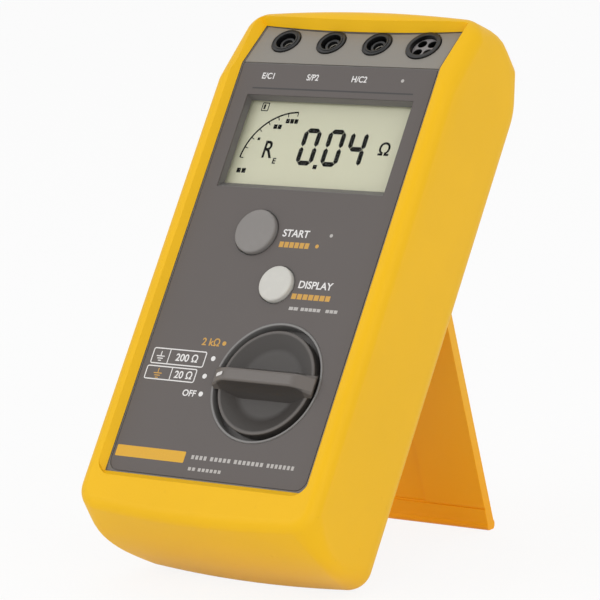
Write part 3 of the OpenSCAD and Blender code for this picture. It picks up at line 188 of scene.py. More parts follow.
BODY = standing()
ON_SLOPE = BODY @ Matrix.Translation((0, FOLD_Y, 0)) @ Matrix.Rotation(-SLOPE, 4, "X")
ON_STAND = BODY @ Matrix.Translation((0, PIVOT_Y, PIVOT_Z)) @ Matrix.Rotation(STAND_OPEN, 4, "X")


def at(place, base=BODY, z=0):
    """The matrix of a place on the face or on the slope."""
    return base @ Matrix.Translation((place[0], place[1], z))


def srgb(red, green, blue):
    """A colour on the screen's 0 to 255 scale as the linear colour that the shaders take."""
    return tuple(c / 12.92 if c <= 0.04045 else ((c + 0.055) / 1.055) ** 2.4
                 for c in (red / 255, green / 255, blue / 255))


# ---- Settings that a user may change

def length(name, description, default):
    return FloatProperty(name=name, description=description, default=default, min=0, unit="LENGTH", precision=5)


def colour(name, description, *rgb):
    return FloatVectorProperty(name=name, description=description, default=srgb(*rgb), min=0, max=1,
                               size=3, subtype="COLOR")


class TesterSizes(bpy.types.PropertyGroup):
    """Sizes that change the finish of the edges and prints, not the main shapes"""
    lip_edge: length("Lip edge", "Radius along the inner edge of the holster's lip", 0.0007)
    recess_edge: length("Recess edge", "Radius round the recess for the folded stand", 0.0005)
    stand_edge: length("Stand edge", "Radius along the edges of the tilt stand", 0.0004)
    print_height: length("Print height", "Height of the printed marks over the face", 0.00003)
    plastic_grain: length("Plastic grain", "Depth of the moulded grain on the holster", 0.00003)
    film_grain: length("Film grain", "Depth of the grain on the printed films", 0.00001)


class TesterColours(bpy.types.PropertyGroup):
    """Colours of the visible pieces"""
    holster: colour("Holster", "Moulded plastic of the holster", 246, 191, 6)
    stand_top: colour("Stand", "Tilt stand near its hinge", 246, 184, 44)
    stand_foot: colour("Stand foot", "Tilt stand near its foot", 255, 176, 0)
    case: colour("Case", "Plastic of the case", 106, 103, 101)
    face: colour("Face film", "Printed film over the flat face", 85, 78, 75)
    slope: colour("Socket film", "Printed film over the socket slope", 138, 133, 125)
    knob: colour("Selector", "Plastic of the selector knob", 62, 58, 55)
    sockets: colour("Sockets", "Shrouds of the sockets", 14, 14, 15)
    insert: colour("Accessory insert", "Insert of the accessory socket", 140, 136, 136)
    start_key: colour("Start key", "Rubber of the start key", 134, 130, 127)
    display_key: colour("Display key", "Rubber of the display key", 206, 204, 197)
    crystal: colour("Crystal", "Reflector of the liquid crystal panel", 222, 221, 192)
    segments: colour("Segments", "Dark segments of the display", 12, 12, 8)
    white_print: colour("White print", "White marks on the face", 232, 230, 228)
    orange_print: colour("Orange print", "Orange marks on the face", 206, 156, 66)
    faint_print: colour("Faint print", "Small pale marks on the face", 186, 182, 178)
    dark_print: colour("Dark print", "Dark line above the window", 52, 50, 50)
    yellow_plate: colour("Yellow plate", "Bare yellow plate on the face", 224, 170, 34)


def sizes():
    return bpy.context.scene.tester_sizes


def colours():
    return bpy.context.scene.tester_colours


# ---- Outlines and meshes

def spoke(x, y, radius, degrees):
    """The place on a circle at an angle."""
    a = math.radians(degrees)
    return x + radius * math.cos(a), y + radius * math.sin(a)


def arc_points(x, y, radius, first, last, steps):
    """Places along a circle, from one angle to another in degrees."""
    return [spoke(x, y, radius, first + (last - first) * i / steps) for i in range(steps + 1)]


def corner_arc(before, corner, after, radius, steps):
    """Points of one corner of an outline, turned into an arc."""
    before, corner, after = Vector(before), Vector(corner), Vector(after)
    if radius == 0:
        return [tuple(corner)]
    u, v = (before - corner).normalized(), (after - corner).normalized()
    half = u.angle(v) / 2
    centre = corner + (u + v).normalized() * radius / math.sin(half)
    start, end = corner + u * radius / math.tan(half) - centre, corner + v * radius / math.tan(half) - centre
    first = math.atan2(start.y, start.x)
    turn = math.remainder(math.atan2(end.y, end.x) - first, math.tau)
    return [(centre.x + radius * math.cos(first + turn * i / steps),
             centre.y + radius * math.sin(first + turn * i / steps)) for i in range(steps + 1)]


def rounded(points, radius=0, steps=10):
    """An outline with rounded corners. A point's third number, where it has one, is its own radius."""
    places = [point[:2] for point in points]
    outline = []
    for before, point, after in zip(places[-1:] + places, points, places[1:] + places[:1]):
        outline += corner_arc(before, point[:2], after, (*point, radius)[2], steps)
    return outline


def rectangle(x0, y0, x1, y1):
    return [(x0, y0), (x1, y0), (x1, y1), (x0, y1)]


def ring(radius, count=96, x=0, y=0):
    """A circle as an outline."""
    return [(x + radius * math.cos(math.tau * i / count), y + radius * math.sin(math.tau * i / count))
            for i in range(count)]


def as_mesh(bm, name):
    mesh = bpy.data.meshes.new(name)
    bmesh.ops.recalc_face_normals(bm, faces=bm.faces)
    bm.to_mesh(mesh)
    bm.free()
    return mesh


def lofted(sections):
    """Sections with the same number of points, joined in order and capped at both ends."""
    bm = bmesh.new()
    rows = [[bm.verts.new(point) for point in section] for section in sections]
    for near, far in zip(rows, rows[1:]):
        for i in range(len(near)):
            bm.faces.new((near[i - 1], near[i], far[i], far[i - 1]))
    bm.faces.new(rows[0])
    bm.faces.new(rows[-1])
    return as_mesh(bm, "lofted")


def prism(outline, low, high, along="z"):
    """An outline extruded from low to high along one axis."""
    order = {"x": (2, 0, 1), "y": (0, 2, 1), "z": (0, 1, 2)}[along]
    return lofted([[[(a, b, level)[i] for i in order] for a, b in outline] for level in (low, high)])


def turned(profile, count=96):
    """A closed profile of radius and height turned round the z axis."""
    bm = bmesh.new()
    rings = [[bm.verts.new((x, y, z)) for x, y in (ring(radius, count) if radius else [(0, 0)])]
             for radius, z in profile]
    for lower, upper in zip(rings, rings[1:] + rings[:1]):
        if len(lower) == 1 and len(upper) == 1:
            continue
        for i in range(count):
            corners = (lower[i % len(lower)], lower[(i + 1) % len(lower)],
                       upper[(i + 1) % len(upper)], upper[i % len(upper)])
            bm.faces.new(list(dict.fromkeys(corners)))
    return as_mesh(bm, "turned")


def hulled(points):
    """The convex hull of the points, with its flat faces joined."""
    bm = bmesh.new()
    for point in points:
        bm.verts.new(point)
    result = bmesh.ops.convex_hull(bm, input=bm.verts)
    loose = {v for key in ("geom_interior", "geom_unused") for v in result[key]
             if isinstance(v, bmesh.types.BMVert)}
    bmesh.ops.delete(bm, geom=list(loose), context="VERTS")
    bmesh.ops.dissolve_limit(bm, angle_limit=math.radians(0.05), verts=bm.verts, edges=bm.edges)
    return as_mesh(bm, "hulled")


def moved(mesh, matrix):
    mesh.transform(matrix)
    return mesh


def together(*meshes):
    """Several meshes as one."""
    bm = bmesh.new()
    for mesh in meshes:
        bm.from_mesh(mesh)
    joined = bpy.data.meshes.new("joined")
    bm.to_mesh(joined)
    bm.free()
    return joined


def shown(name, mesh):
    piece = bpy.data.objects.new(name, mesh)
    bpy.context.scene.collection.objects.link(piece)
    return piece


def settled(piece):
    """The mesh of a piece with its modifiers applied; the piece itself is taken away."""
    graph = bpy.context.evaluated_depsgraph_get()
    mesh = bpy.data.meshes.new_from_object(piece.evaluated_get(graph))
    bpy.data.objects.remove(piece)
    return mesh


def shaped(base, *cutters, operation="DIFFERENCE"):
    """A mesh less each of the others in turn, or united or crossed with them."""
    for cutter in cutters:
        body, tool = shown("shaped", base), shown("tool", cutter)
        step = body.modifiers.new("cut", "BOOLEAN")
        step.operation, step.object, step.solver = operation, tool, "EXACT"
        base = settled(body)
        bpy.data.objects.remove(tool)
        if not base.polygons:
            raise RuntimeError("a cut left nothing of a mesh")
    return base


def crossed(side, end, plan):
    """What the side and end views, each run right through, and the prism of the plan have in common."""
    return shaped(prism(side, -HOLSTER_W, HOLSTER_W, "x"), prism(end, -HOLSTER_L, 2 * HOLSTER_L, "y"), plan,
                  operation="INTERSECT")


def cleaned(mesh, matrix, floor=False):
    """The mesh in the frame's metres without tiny parts, and cut flat where it stands on the floor."""
    bm = bmesh.new()
    bm.from_mesh(mesh)
    bmesh.ops.remove_doubles(bm, verts=bm.verts, dist=1e-4)
    bmesh.ops.dissolve_degenerate(bm, edges=bm.edges, dist=1e-4)
    bmesh.ops.transform(bm, matrix=matrix, verts=bm.verts)
    if floor:
        cut = bmesh.ops.bisect_plane(bm, geom=bm.verts[:] + bm.edges[:] + bm.faces[:], dist=1e-9,
                                     plane_co=(0, 0, 0), plane_no=(0, 0, 1), clear_inner=True)
        rim = [e for e in cut["geom_cut"] if isinstance(e, bmesh.types.BMEdge)]
        bmesh.ops.contextual_create(bm, geom=rim)
    return as_mesh(bm, mesh.name)


def weighed(mesh, matrix, chosen, sharp=25):
    """Marks the sharp edges for a bevel. chosen() gives each its share, by its middle in own millimetres."""
    bm = bmesh.new()
    bm.from_mesh(mesh)
    layer = bm.edges.layers.float.new("bevel_weight_edge")
    back = matrix.inverted()
    for edge in bm.edges:
        if len(edge.link_faces) == 2 and edge.calc_face_angle(0) > math.radians(sharp):
            edge[layer] = chosen(back @ ((edge.verts[0].co + edge.verts[1].co) / 2))
    bm.to_mesh(mesh)
    bm.free()
    return mesh


def piece(name, mesh, finish, body, slot, replaces=(), edge=0, sharp=32):
    """Shows a mesh as one piece of the tester, with its finish, its body and smooth shading. The slot argument
    is not used.
    """
    made = shown(name, mesh)
    mesh.name = name
    mesh.materials.clear()
    mesh.materials.append(finish)
    mesh.polygons.foreach_set("use_smooth", [True] * len(mesh.polygons))
    mesh.polygons.foreach_set("material_index", [0] * len(mesh.polygons))
    if edge:
        bevel = made.modifiers.new("edges", "BEVEL")
        bevel.width, bevel.segments, bevel.limit_method = edge, 3, "WEIGHT"
        bevel.use_clamp_overlap = True
    mesh.set_sharp_from_angle(angle=math.radians(sharp))
    normals = made.modifiers.new("normals", "WEIGHTED_NORMAL")
    normals.keep_sharp = True
    normals.weight = 80
    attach(made, body)
    if replaces:
        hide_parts(*replaces)
    return made


# ---- Finishes

class Reading:
    """A value at a shader socket. Python's operators on it add Math nodes."""

    def __init__(self, nodes, socket):
        self.nodes, self.socket = nodes, socket

    def math(self, operation, first, second):
        return self.nodes.read("ShaderNodeMath", {"operation": operation}, {0: first, 1: second})

    def __add__(self, other): return self.math("ADD", self, other)
    def __radd__(self, other): return self.math("ADD", other, self)
    def __sub__(self, other): return self.math("SUBTRACT", self, other)
    def __rsub__(self, other): return self.math("SUBTRACT", other, self)
    def __mul__(self, other): return self.math("MULTIPLY", self, other)
    def __rmul__(self, other): return self.math("MULTIPLY", other, self)
    def most(self, other): return self.math("MAXIMUM", self, other)


class Nodes:
    """The node tree of a material or of the world. Every node comes from add()."""

    def __init__(self, owner):
        owner.use_nodes = True
        self.tree = owner.node_tree
        self.tree.nodes.clear()

    def add(self, kind, settings, sockets):
        """Adds a node: its settings first, then the values or links of its sockets."""
        made = self.tree.nodes.new(kind)
        for key, value in settings.items():
            setattr(made, key, value)
        for key, value in sockets.items():
            self.put(made, key, value)
        return made

    def read(self, kind, settings, sockets, output=None):
        """Adds a node and reads the output of that name, or else the first one in use."""
        outputs = self.add(kind, settings, sockets).outputs
        return Reading(self, outputs[output] if output else next(s for s in outputs if s.enabled))

    def put(self, node, key, value):
        """Sets or links one socket of a node, found by its place or its name."""
        socket = node.inputs[key] if isinstance(key, int) else next(
            s for s in node.inputs if s.name == key and s.enabled)
        if isinstance(value, Reading):
            self.tree.links.new(value.socket, socket)
        else:
            socket.default_value = (*value, 1) if socket.type == "RGBA" else value

    def seen(self):
        """1 for what the camera, mirrors and glass see, 0 for the light that falls on things."""
        path = self.add("ShaderNodeLightPath", {}, {}).outputs
        camera, glossy, through = (Reading(self, path[f"Is {ray} Ray"])
                                   for ray in ("Camera", "Glossy", "Transmission"))
        return camera.most(glossy).most(through)


class Finish(Nodes):
    """One procedural material: a Principled shader and what feeds it."""

    def __init__(self, name, roughness, **fixed):
        self.material = bpy.data.materials.new(name)
        super().__init__(self.material)
        self.shader = self.add("ShaderNodeBsdfPrincipled", {}, {})
        self.shade(roughness=roughness, **fixed)
        self.lit = Reading(self, self.shader.outputs[0])
        self.end = self.add("ShaderNodeOutputMaterial", {}, {"Surface": self.lit})
        self.place = self.read("ShaderNodeTexCoord", {}, {}, "Object")

    def shade(self, **sockets):
        """Sets or links sockets of the Principled shader."""
        for key, value in sockets.items():
            self.put(self.shader, key.replace("_", " ").title().replace("Ior", "IOR"), value)
        return self.material

    def surface(self, factor, first, second, grain, rough, uneven, depth=0):
        """Two colours mixed by a factor, gloss that follows the grain, and the grain's relief in metres."""
        if depth:
            self.shade(normal=self.bump(grain, depth))
        return self.shade(base_color=self.mix(factor, first, second), roughness=rough + uneven * grain)

    def noise(self, scale, detail=3.0, where=None):
        """Noise from 0 to 1; the scale is in features per metre."""
        return self.read("ShaderNodeTexNoise", {}, {
            "Vector": where or self.place, "Scale": scale, "Detail": detail, "Roughness": 0.55})

    def stretched(self, scales, turn=(0, 0, 0)):
        """Object coordinates turned and stretched, for a grain with a direction."""
        return self.read("ShaderNodeMapping", {}, {"Vector": self.place, "Rotation": turn, "Scale": scales})

    def own(self, matrix, axes):
        """The object coordinates that axes names, in a piece's own millimetres."""
        rows = [matrix.inverted()["xyz".index(axis)] for axis in axes]
        return [self.read("ShaderNodeVectorMath", {"operation": "DOT_PRODUCT"},
                          {0: self.place, 1: tuple(row[:3])}, "Value") + row[3] for row in rows]

    def step(self, value, low, high):
        """0 below low and 1 above high, smooth in between."""
        return self.read("ShaderNodeMapRange", {"interpolation_type": "SMOOTHSTEP"}, {
            "Value": value, "From Min": low, "From Max": high, "To Min": 0.0, "To Max": 1.0})

    def mix(self, factor, first, second):
        """A colour between two."""
        return self.read("ShaderNodeMix", {"data_type": "RGBA"}, {"Factor": factor, "A": first, "B": second})

    def bump(self, height, depth, strength=1.0):
        """A normal from a height of 0 to 1 over a depth in metres."""
        return self.read("ShaderNodeBump", {}, {"Strength": strength, "Distance": depth, "Height": height})


def tones(rgb, *shares):
    """A colour made darker or lighter, once for each share."""
    return [tuple(max(0.0, min(1.0, c * share)) for c in rgb) for share in shares]


def moulded(name, rgb, roughness, depth, scale=1500):
    """Moulded plastic: fine grain, a little unevenness in colour and gloss."""
    finish = Finish(name, roughness)
    cloud, fine = finish.noise(30), finish.noise(scale)
    return finish.surface(cloud * 0.7 + fine * 0.3, *tones(rgb, 0.9, 1.1), fine, roughness - 0.06, 0.12, depth)


def holster_plastic():
    """Soft yellow plastic: fine moulded grain, and scuffs towards the heel and the back edges."""
    rgb = colours().holster
    finish = Finish("holster_plastic", 0.5, specular_ior_level=0.3)
    cloud, fine, rough = finish.noise(22), finish.noise(1400), finish.noise(260, 4.0)
    y, z = finish.own(BODY, "yz")
    low, back = 1 - finish.step(y, 6.0, 60.0), 1 - finish.step(z, -50.0, -30.0)
    scuff = finish.step(rough, 0.66, 0.78) * (low * 0.35 + back * 0.4)
    clean, wear_and_highlight_tone = finish.mix(cloud, *tones(rgb, 0.94, 1.05)), (rgb[0] * 0.8, rgb[1] * 0.72, rgb[2] * 0.9)
    return finish.shade(
        base_color=finish.mix(scuff, clean, wear_and_highlight_tone), roughness=0.46 + 0.1 * fine + 0.12 * scuff,
        normal=finish.bump(fine * 0.8 + cloud * 0.2, sizes().plastic_grain))


def stand_plastic():
    """Orange plastic that reddens towards the foot, with an even moulded grain."""
    finish = Finish("stand_plastic", 0.42, specular_ior_level=0.25)
    fine, cloud = finish.noise(1100), finish.noise(40, 2.0)
    y, = finish.own(ON_STAND, "y")
    down = finish.step(y, -STAND_L, -0.35 * STAND_L)
    return finish.surface(down * 0.85 + cloud * 0.15, colours().stand_foot, colours().stand_top,
                          fine, 0.36, 0.12, sizes().plastic_grain)


def knob_plastic():
    """Dark plastic, with painted highlights along the top of the grip bar and round the rim."""
    finish = Finish("knob_plastic", 0.4)
    fine, cloud = finish.noise(1500), finish.noise(60)
    x, y, z = finish.own(at(KNOB_AT), "xyz")
    # Painted highlight: the top of the grip bar and the knob's rim are made lighter in colour, as where light
    # falls on them.
    painted_crest_highlight = finish.step(z, 1.2, 1.9) * (
        1 - finish.step(y * y, 0.8 * BAR_TOP_HALF ** 2, 1.15 * BAR_TOP_HALF ** 2))
    rim = finish.step(x * x + y * y, (KNOB_R - 1.5) ** 2, (KNOB_R - 0.7) ** 2) * finish.step(z, 0.1, 0.6)
    painted_highlight = painted_crest_highlight.most(rim * 0.6)
    dark, light, wear_and_highlight_tone = tones(colours().knob, 0.88, 1.1, 3.0)
    return finish.shade(
        base_color=finish.mix(painted_highlight * 0.9, finish.mix(cloud * 0.7 + fine * 0.3, dark, light), wear_and_highlight_tone),
        roughness=0.4 + 0.1 * fine - 0.1 * painted_highlight, normal=finish.bump(fine, 0.00002))


def printed_film(name, rgb):
    """Printed polyester film: a fine even grain and a soft sheen."""
    finish = Finish(name, 0.42)
    fine, cloud = finish.noise(2600, 2.0), finish.noise(45, 2.0)
    return finish.surface(cloud * 0.5 + fine * 0.5, *tones(rgb, 0.93, 1.07), fine, 0.38, 0.1,
                          sizes().film_grain)


def keypad_rubber(name, rgb):
    """Moulded silicone rubber with faint dust."""
    finish = Finish(name, 0.6)
    fine, dust = finish.noise(1800), finish.step(finish.noise(160), 0.45, 0.8)
    return finish.surface(dust * 0.5, *tones(rgb, 1, 1.12), fine, 0.55, 0.12, 0.00002)


def turned_metal(name, roughness, uneven, dark, light):
    """Plated metal with turning marks round its bore."""
    finish = Finish(name, roughness, metallic=1.0)
    lines = finish.noise(900, 2.0, finish.stretched((1, 1, 8)))
    return finish.surface(lines, srgb(*dark), srgb(*light), lines, roughness - 0.06, uneven, 0.00001)


def insert_plastic(place):
    """Grey plastic of the accessory socket, with painted shade: black down its pin holes."""
    finish = Finish("insert_plastic", 0.4)
    fine = finish.noise(1500)
    z, = finish.own(place, "z")
    grey = finish.mix(fine, *tones(colours().insert, 0.9, 1.1))
    # Painted shade: the walls down the pin holes and mouths are coloured black.
    return finish.surface(finish.step(z, INSERT_Z - 0.35, INSERT_Z - 0.05), srgb(12, 12, 12), grey,
                          fine, 0.36, 0.12, 0.00001)


def zinc_steel():
    """Zinc plated steel of screws and springs."""
    finish = Finish("zinc_steel", 0.35, metallic=1.0)
    return finish.surface(finish.noise(300), srgb(150, 152, 156), srgb(198, 198, 196),
                          finish.noise(2000, 2.0), 0.28, 0.18, 0.00001)


def clear_pane():
    """Clear acrylic pane with very faint rub marks."""
    finish = Finish("clear_pane", 0.05)
    rub = finish.noise(500, 2.0, finish.stretched((1, 6, 1), (0, 0, 0.6)))
    return finish.shade(
        base_color=(0.01, 0.012, 0.01), alpha=0.05 + 0.03 * finish.step(rub, 0.6, 0.8),
        roughness=0.04 + 0.08 * finish.step(rub, 0.55, 0.8))


def crystal_glass():
    """Grey-green reflector seen through the liquid crystal: pearly, slightly darker at the top."""
    finish = Finish("crystal_glass", 0.35)
    pearl = finish.noise(3500, 2.0)
    y, = finish.own(BODY, "y")
    up = finish.step(y, WINDOW_LOW, WINDOW_HIGH)
    return finish.surface(pearl * 0.35 + up * 0.5, *tones(colours().crystal, 1.04, 0.93),
                          pearl, 0.3, 0.12, 0.000004)


def circuit_board():
    """Green solder mask over faint tracks."""
    finish = Finish("circuit_board", 0.35)
    tracks = finish.noise(220, 0.0, finish.stretched((1, 0.12, 0.12)))
    line = finish.step(tracks, 0.52, 0.56)
    return finish.surface(line, srgb(24, 74, 44), srgb(40, 104, 60), line, 0.3, 0.1, 0.00002)


def ink(name, rgb, roughness=0.45, **fixed):
    """Screen-printed ink, slightly uneven."""
    finish = Finish(name, roughness, **fixed)
    fine = finish.noise(2200, 2.0)
    return finish.surface(fine, *tones(rgb, 0.92, 1.06), fine, roughness - 0.05, 0.1)


# ---- Marks

class Marks:
    """Flat printed shapes of one ink, kept as thin prisms until they are shown as one piece."""

    def __init__(self, matrix, z=0.0):
        self.matrix, self.parts = matrix, []
        self.low, self.high = z - PRINT_SINK, z + sizes().print_height / MM

    def shape(self, outline):
        self.parts.append(prism(outline, self.low, self.high))

    def bar(self, x0, y0, x1, y1, radius=0):
        self.shape(rounded(rectangle(x0, y0, x1, y1), radius, 6))

    def dot(self, x, y, radius):
        self.shape(ring(radius, 32, x, y))

    def stroke(self, x0, y0, x1, y1, width, tip=0.0, room=0.0):
        """A straight stroke, with room left at its ends, and points there as long as tip."""
        start, end = Vector((x0, y0)), Vector((x1, y1))
        along = (end - start).normalized()
        side, start, end = Vector((-along.y, along.x)) * width / 2, start + along * room, end - along * room
        near, far, pointed = start + along * tip, end - along * tip, bool(tip)
        self.shape([near - side, far - side] + [end] * pointed + [far + side, near + side] + [start] * pointed)

    def box(self, x0, y0, x1, y1, width, radius):
        """A rounded box drawn in outline."""
        inner = rounded(rectangle(x0 + width, y0 + width, x1 - width, y1 - width), radius - width, 6)
        self.bar(x0, y0, x1, y1, radius)
        self.parts[-1] = shaped(self.parts[-1], prism(inner, self.low - 1, self.high + 1))

    def arc(self, x, y, radius, first, last, width, steps=40):
        """A stroke along a circle, from one angle to another in degrees."""
        rim, hem = (arc_points(x, y, radius + side * width / 2, first, last, steps) for side in (1, -1))
        self.shape(rim + hem[::-1])

    def blocks(self, x0, y0, x1, y1, count, gap):
        """A row of small blocks."""
        pitch = (x1 - x0 + gap) / count
        for i in range(count):
            self.bar(x0 + i * pitch, y0, x0 + (i + 1) * pitch - gap, y1)

    def digit(self, text, x, y, width, height, stroke):
        """One seven-segment figure."""
        half = stroke / 2
        columns, rows = (x + half, x + width - half), (y + half, y + height / 2, y + height - half)
        for name in SEGMENTS_OF[text]:
            i, j, k, m = SEGMENTS[name]
            self.stroke(columns[i], rows[j], columns[k], rows[m], stroke, half, SEGMENT_ROOM)

    def letters(self, text, x, y, height, width, bold):
        """Generic words, numbers or signs, centred on x with their foot at y, with strokes heavier by bold."""
        curve = bpy.data.curves.new("letters", "FONT")
        curve.body, curve.size, curve.align_x = text, height / CAPITAL_SHARE, "CENTER"
        curve.extrude, curve.offset = (self.high - self.low) / 2, bold / 2
        place = Matrix.Translation((x, y, (self.low + self.high) / 2))
        self.parts.append(moved(settled(shown("letters", curve)), place @ Matrix.Diagonal((width, 1, 1, 1))))

    def put(self, words=(), dots=(), bars=(), rows=(), boxes=()):
        """Draws the marks of a table."""
        for draw, entries in ((self.letters, words), (self.dot, dots), (self.bar, bars), (self.blocks, rows),
                              (self.box, boxes)):
            for entry in entries:
                draw(*entry)

    def show(self, name, finish, body="tester", slot="face_print"):
        return piece(name, moved(together(*self.parts), self.matrix), finish, body, slot, sharp=20)


# ---- Pieces

class TESTER_OT_holster(bpy.types.Operator):
    """Builds the moulded holster with its lip, cavity, stand recess and finger scoop"""
    bl_idname = "tester.holster"
    bl_label = "Holster"

    def execute(self, context):
        recess = prism(rectangle(-RECESS_HALF, RECESS_LOW, RECESS_HALF, RECESS_HIGH),
                       RECESS_FLOOR_Z - HOLSTER_T, RECESS_FLOOR_Z)
        reach = STAND_HALF + TRUNNION_L + GAP
        bores = prism(ring(TRUNNION_R + TRUNNION_PLAY, 48, PIVOT_Y, PIVOT_Z), -reach, reach, "x")
        scoop = prism(ring(SCOOP_R, 64, RECESS_LOW, SCOOP_Z), -SCOOP_W / 2, SCOOP_W / 2, "x")
        form = shaped(hulled(self.outer_points()), self.cavity(), self.face_opening(), self.slope_opening(),
                      recess, bores, scoop)
        lip, rim = sizes().lip_edge, sizes().recess_edge

        def share(point):
            if point.z < -HOLSTER_T + 0.05 and point.y > RECESS_LOW - SCOOP_R - 1:
                return rim / lip
            over = point.z if point.y < FOLD_Y else (
                point.z * math.cos(SLOPE) + (point.y - FOLD_Y) * math.sin(SLOPE))
            inside = abs(point.x) < FACE_HALF + LIP_DRAFT + 1 and point.y < FACE_TOP + 4
            return 1.0 if over > 0.45 and inside else 0.0

        piece("holster_shell", weighed(cleaned(form, BODY, floor=True), BODY, share), holster_plastic(),
              "tester", "holster_plastic", ["holster"], edge=lip)
        return {"FINISHED"}

    def outer_points(self):
        """Points on the outer form: rounded corners, and stations along the crowned ends."""
        points = []

        def corners(r, rim, half, y, z, turn=Matrix()):
            """A rounded corner on either side."""
            for side in (-1, 1):
                place = Matrix.Translation((side * half, y, z)) @ turn
                points.extend(place @ Vector((a * reach, b * reach, up)) for a, b in ring(1, CORNER_STEPS)
                              for reach, up in arc_points(r - rim, 0, rim, -90, 90, RIM_STEPS))

        def crowned(r, half, y, z, way=1):
            """A round edge along an end that curves back towards its corners."""
            points.extend(Vector((share * half, y + way * END_CROWN * share * share + a, z + b))
                          for share in STATIONS for a, b in ring(r, CORNER_STEPS))

        def station(z, end, r, crown, way=1):
            """One crowned end at a depth. The tester lies on the side of it that way points to."""
            half = HOLSTER_W / 2 - r - SIDE_TAPER * (front_z - z) / (HOLSTER_T - REAR_EDGE_R + front_z)
            points.extend(Vector((side * half + a, end + way * (crown + r) + b, z))
                          for side in (-1, 1) for a, b in ring(r, CORNER_STEPS))
            points.extend(Vector((share * half, end + way * crown * share ** 2, z)) for share in STATIONS)

        front_half, top_half = HOLSTER_W / 2 - CORNER_R, HOLSTER_W / 2 - TOP_CORNER_R
        rear_half = HOLSTER_W / 2 - SIDE_TAPER - REAR_EDGE_R
        front_z, reach = LIP_H - FRONT_EDGE_R, TOP_CORNER_R - TOP_EDGE_R
        top_y = HOLSTER_L - reach * math.cos(BEND_ANGLE) - TOP_EDGE_R
        tilt_run = (top_y - BEND_Y + TOP_EDGE_R * math.sin(BEND_ANGLE)) / math.cos(BEND_ANGLE)
        top_z = LIP_H - tilt_run * math.sin(BEND_ANGLE) - TOP_EDGE_R * math.cos(BEND_ANGLE)
        back_y, back_z = HOLSTER_L - TOP_BACK_R, -TOP_BACK_R - TOP_BACK_DROP
        heel_zs = REAR_EDGE_R - HOLSTER_T, REAR_EDGE_R - HOLSTER_T + HEEL_BULGE
        (shoulder_y, shoulder_z), shoulder_half = SHOULDER_AT, rear_half + REAR_EDGE_R - SHOULDER_R
        bent, upright = Matrix.Rotation(-BEND_ANGLE, 4, "X"), Matrix.Rotation(math.pi / 2, 4, "Y")

        corners(CORNER_R, FRONT_EDGE_R, front_half, NOSE_SETBACK + END_CROWN + CORNER_R, front_z)
        corners(CORNER_R, FRONT_EDGE_R, front_half, BEND_Y - CORNER_R + FRONT_EDGE_R, front_z)
        corners(TOP_CORNER_R, TOP_EDGE_R, top_half, top_y - END_CROWN, top_z, bent)
        corners(TOP_BACK_R, REAR_EDGE_R, rear_half, back_y - END_CROWN, back_z, upright)
        corners(SHOULDER_R, SHOULDER_R, shoulder_half, shoulder_y - END_CROWN, shoulder_z)
        crowned(FRONT_EDGE_R, front_half, NOSE_SETBACK + FRONT_EDGE_R, front_z)
        crowned(TOP_EDGE_R, top_half, top_y + reach * math.cos(BEND_ANGLE),
                top_z - reach * math.sin(BEND_ANGLE), -1)
        crowned(TOP_BACK_R, rear_half, back_y, back_z, -1)
        crowned(SHOULDER_R, rear_half, shoulder_y, shoulder_z, -1)
        for z in heel_zs:
            corners(REAR_EDGE_R, REAR_EDGE_R, rear_half, REAR_EDGE_R + END_CROWN, z)
            crowned(REAR_EDGE_R, rear_half, REAR_EDGE_R, z)
        for i in range(1, BELLY_STEPS + 1):
            share = i / BELLY_STEPS
            swell = math.sin(math.pi / 2 * min(1.0, share / BELLY_FULL))
            swell -= BELLY_EASE * max(0.0, share - BELLY_FULL) ** 2
            z = front_z + (BELLY_END_Z - front_z) * share
            setback = NOSE_SETBACK * max(0.0, 1 - (front_z - z) / (front_z - heel_zs[1])) ** BELLY_CURVE
            station(z, setback, CORNER_R - BELLY_R_LESS * swell, END_CROWN - BELLY_CROWN_LESS * swell)
        for share in (0.15, 0.3, 0.45, 0.6, 0.75, 0.9):
            swell = math.sin(math.pi * share)
            z = top_z + (shoulder_z - top_z) * share
            fall = TOP_BACK_R - math.sqrt(TOP_BACK_R ** 2 - max(0.0, back_z - z) ** 2)
            station(z, HOLSTER_L - fall, TOP_CORNER_R - CREST_R_LESS * swell,
                    END_CROWN - CREST_CROWN_LESS * swell, -1)
        return points

    def cavity(self):
        """Room for the case, with a little play all round."""
        low, top, back, half = CASE_LOW - GAP, CASE_TOP + GAP, -CASE_DEPTH - GAP, CASE_HALF + GAP
        fold, edge, rear_half = FOLD_Y + GAP * math.tan(SLOPE / 2), CASE_EDGE_R + GAP, half - SIDE_TAPER
        end_z = GAP - (top - fold) * math.tan(SLOPE)
        side = rounded([(low, GAP), (fold, GAP), (top, end_z), (top, back, CASE_TOP_R + GAP),
                        (low, back, edge)])
        end = rounded([(-half, GAP), (half, GAP), (rear_half, back, edge), (-rear_half, back, edge)])
        plan = rounded(rectangle(-half, low, half, top), CASE_CORNER_R + GAP)
        return crossed(side, end, prism(plan, back - 1, GAP + 1))

    def face_opening(self):
        """Opening in the lip over the flat face, wider towards the front."""
        side = [(FACE_LOW, 0), (FOLD_Y + 1, 0), (FOLD_Y + 1, OPENING_H),
                (FACE_LOW + FACE_HALF - OPENING_HALF, OPENING_H)]
        margin = LIP_DRAFT + GAP
        low, half, radius = FACE_LOW - margin, FACE_HALF + margin, FACE_CORNER_R + margin
        plan = rounded([(-half, low, radius), (half, low, radius), (half, HOLSTER_L), (-half, HOLSTER_L)],
                       steps=16)
        return crossed(side, OPENING_END, prism(plan, -1, OPENING_H + 1))

    def slope_opening(self):
        """Opening in the lip over the sockets, closed by the lip's lens-shaped bulge."""
        trough = moved(prism(OPENING_END, -1, 2 * SLOPE_LEN + 1, "y"), BODY.inverted() @ ON_SLOPE)
        deep = 2 * SLOPE_DROP
        bulge = turned([(0, -deep), (BULGE_R + deep, -deep), (BULGE_R - deep, deep), (0, deep)], 960)
        return shaped(trough, moved(bulge, Matrix.Translation((0, FACE_TOP + BULGE_R, -SLOPE_DROP))))


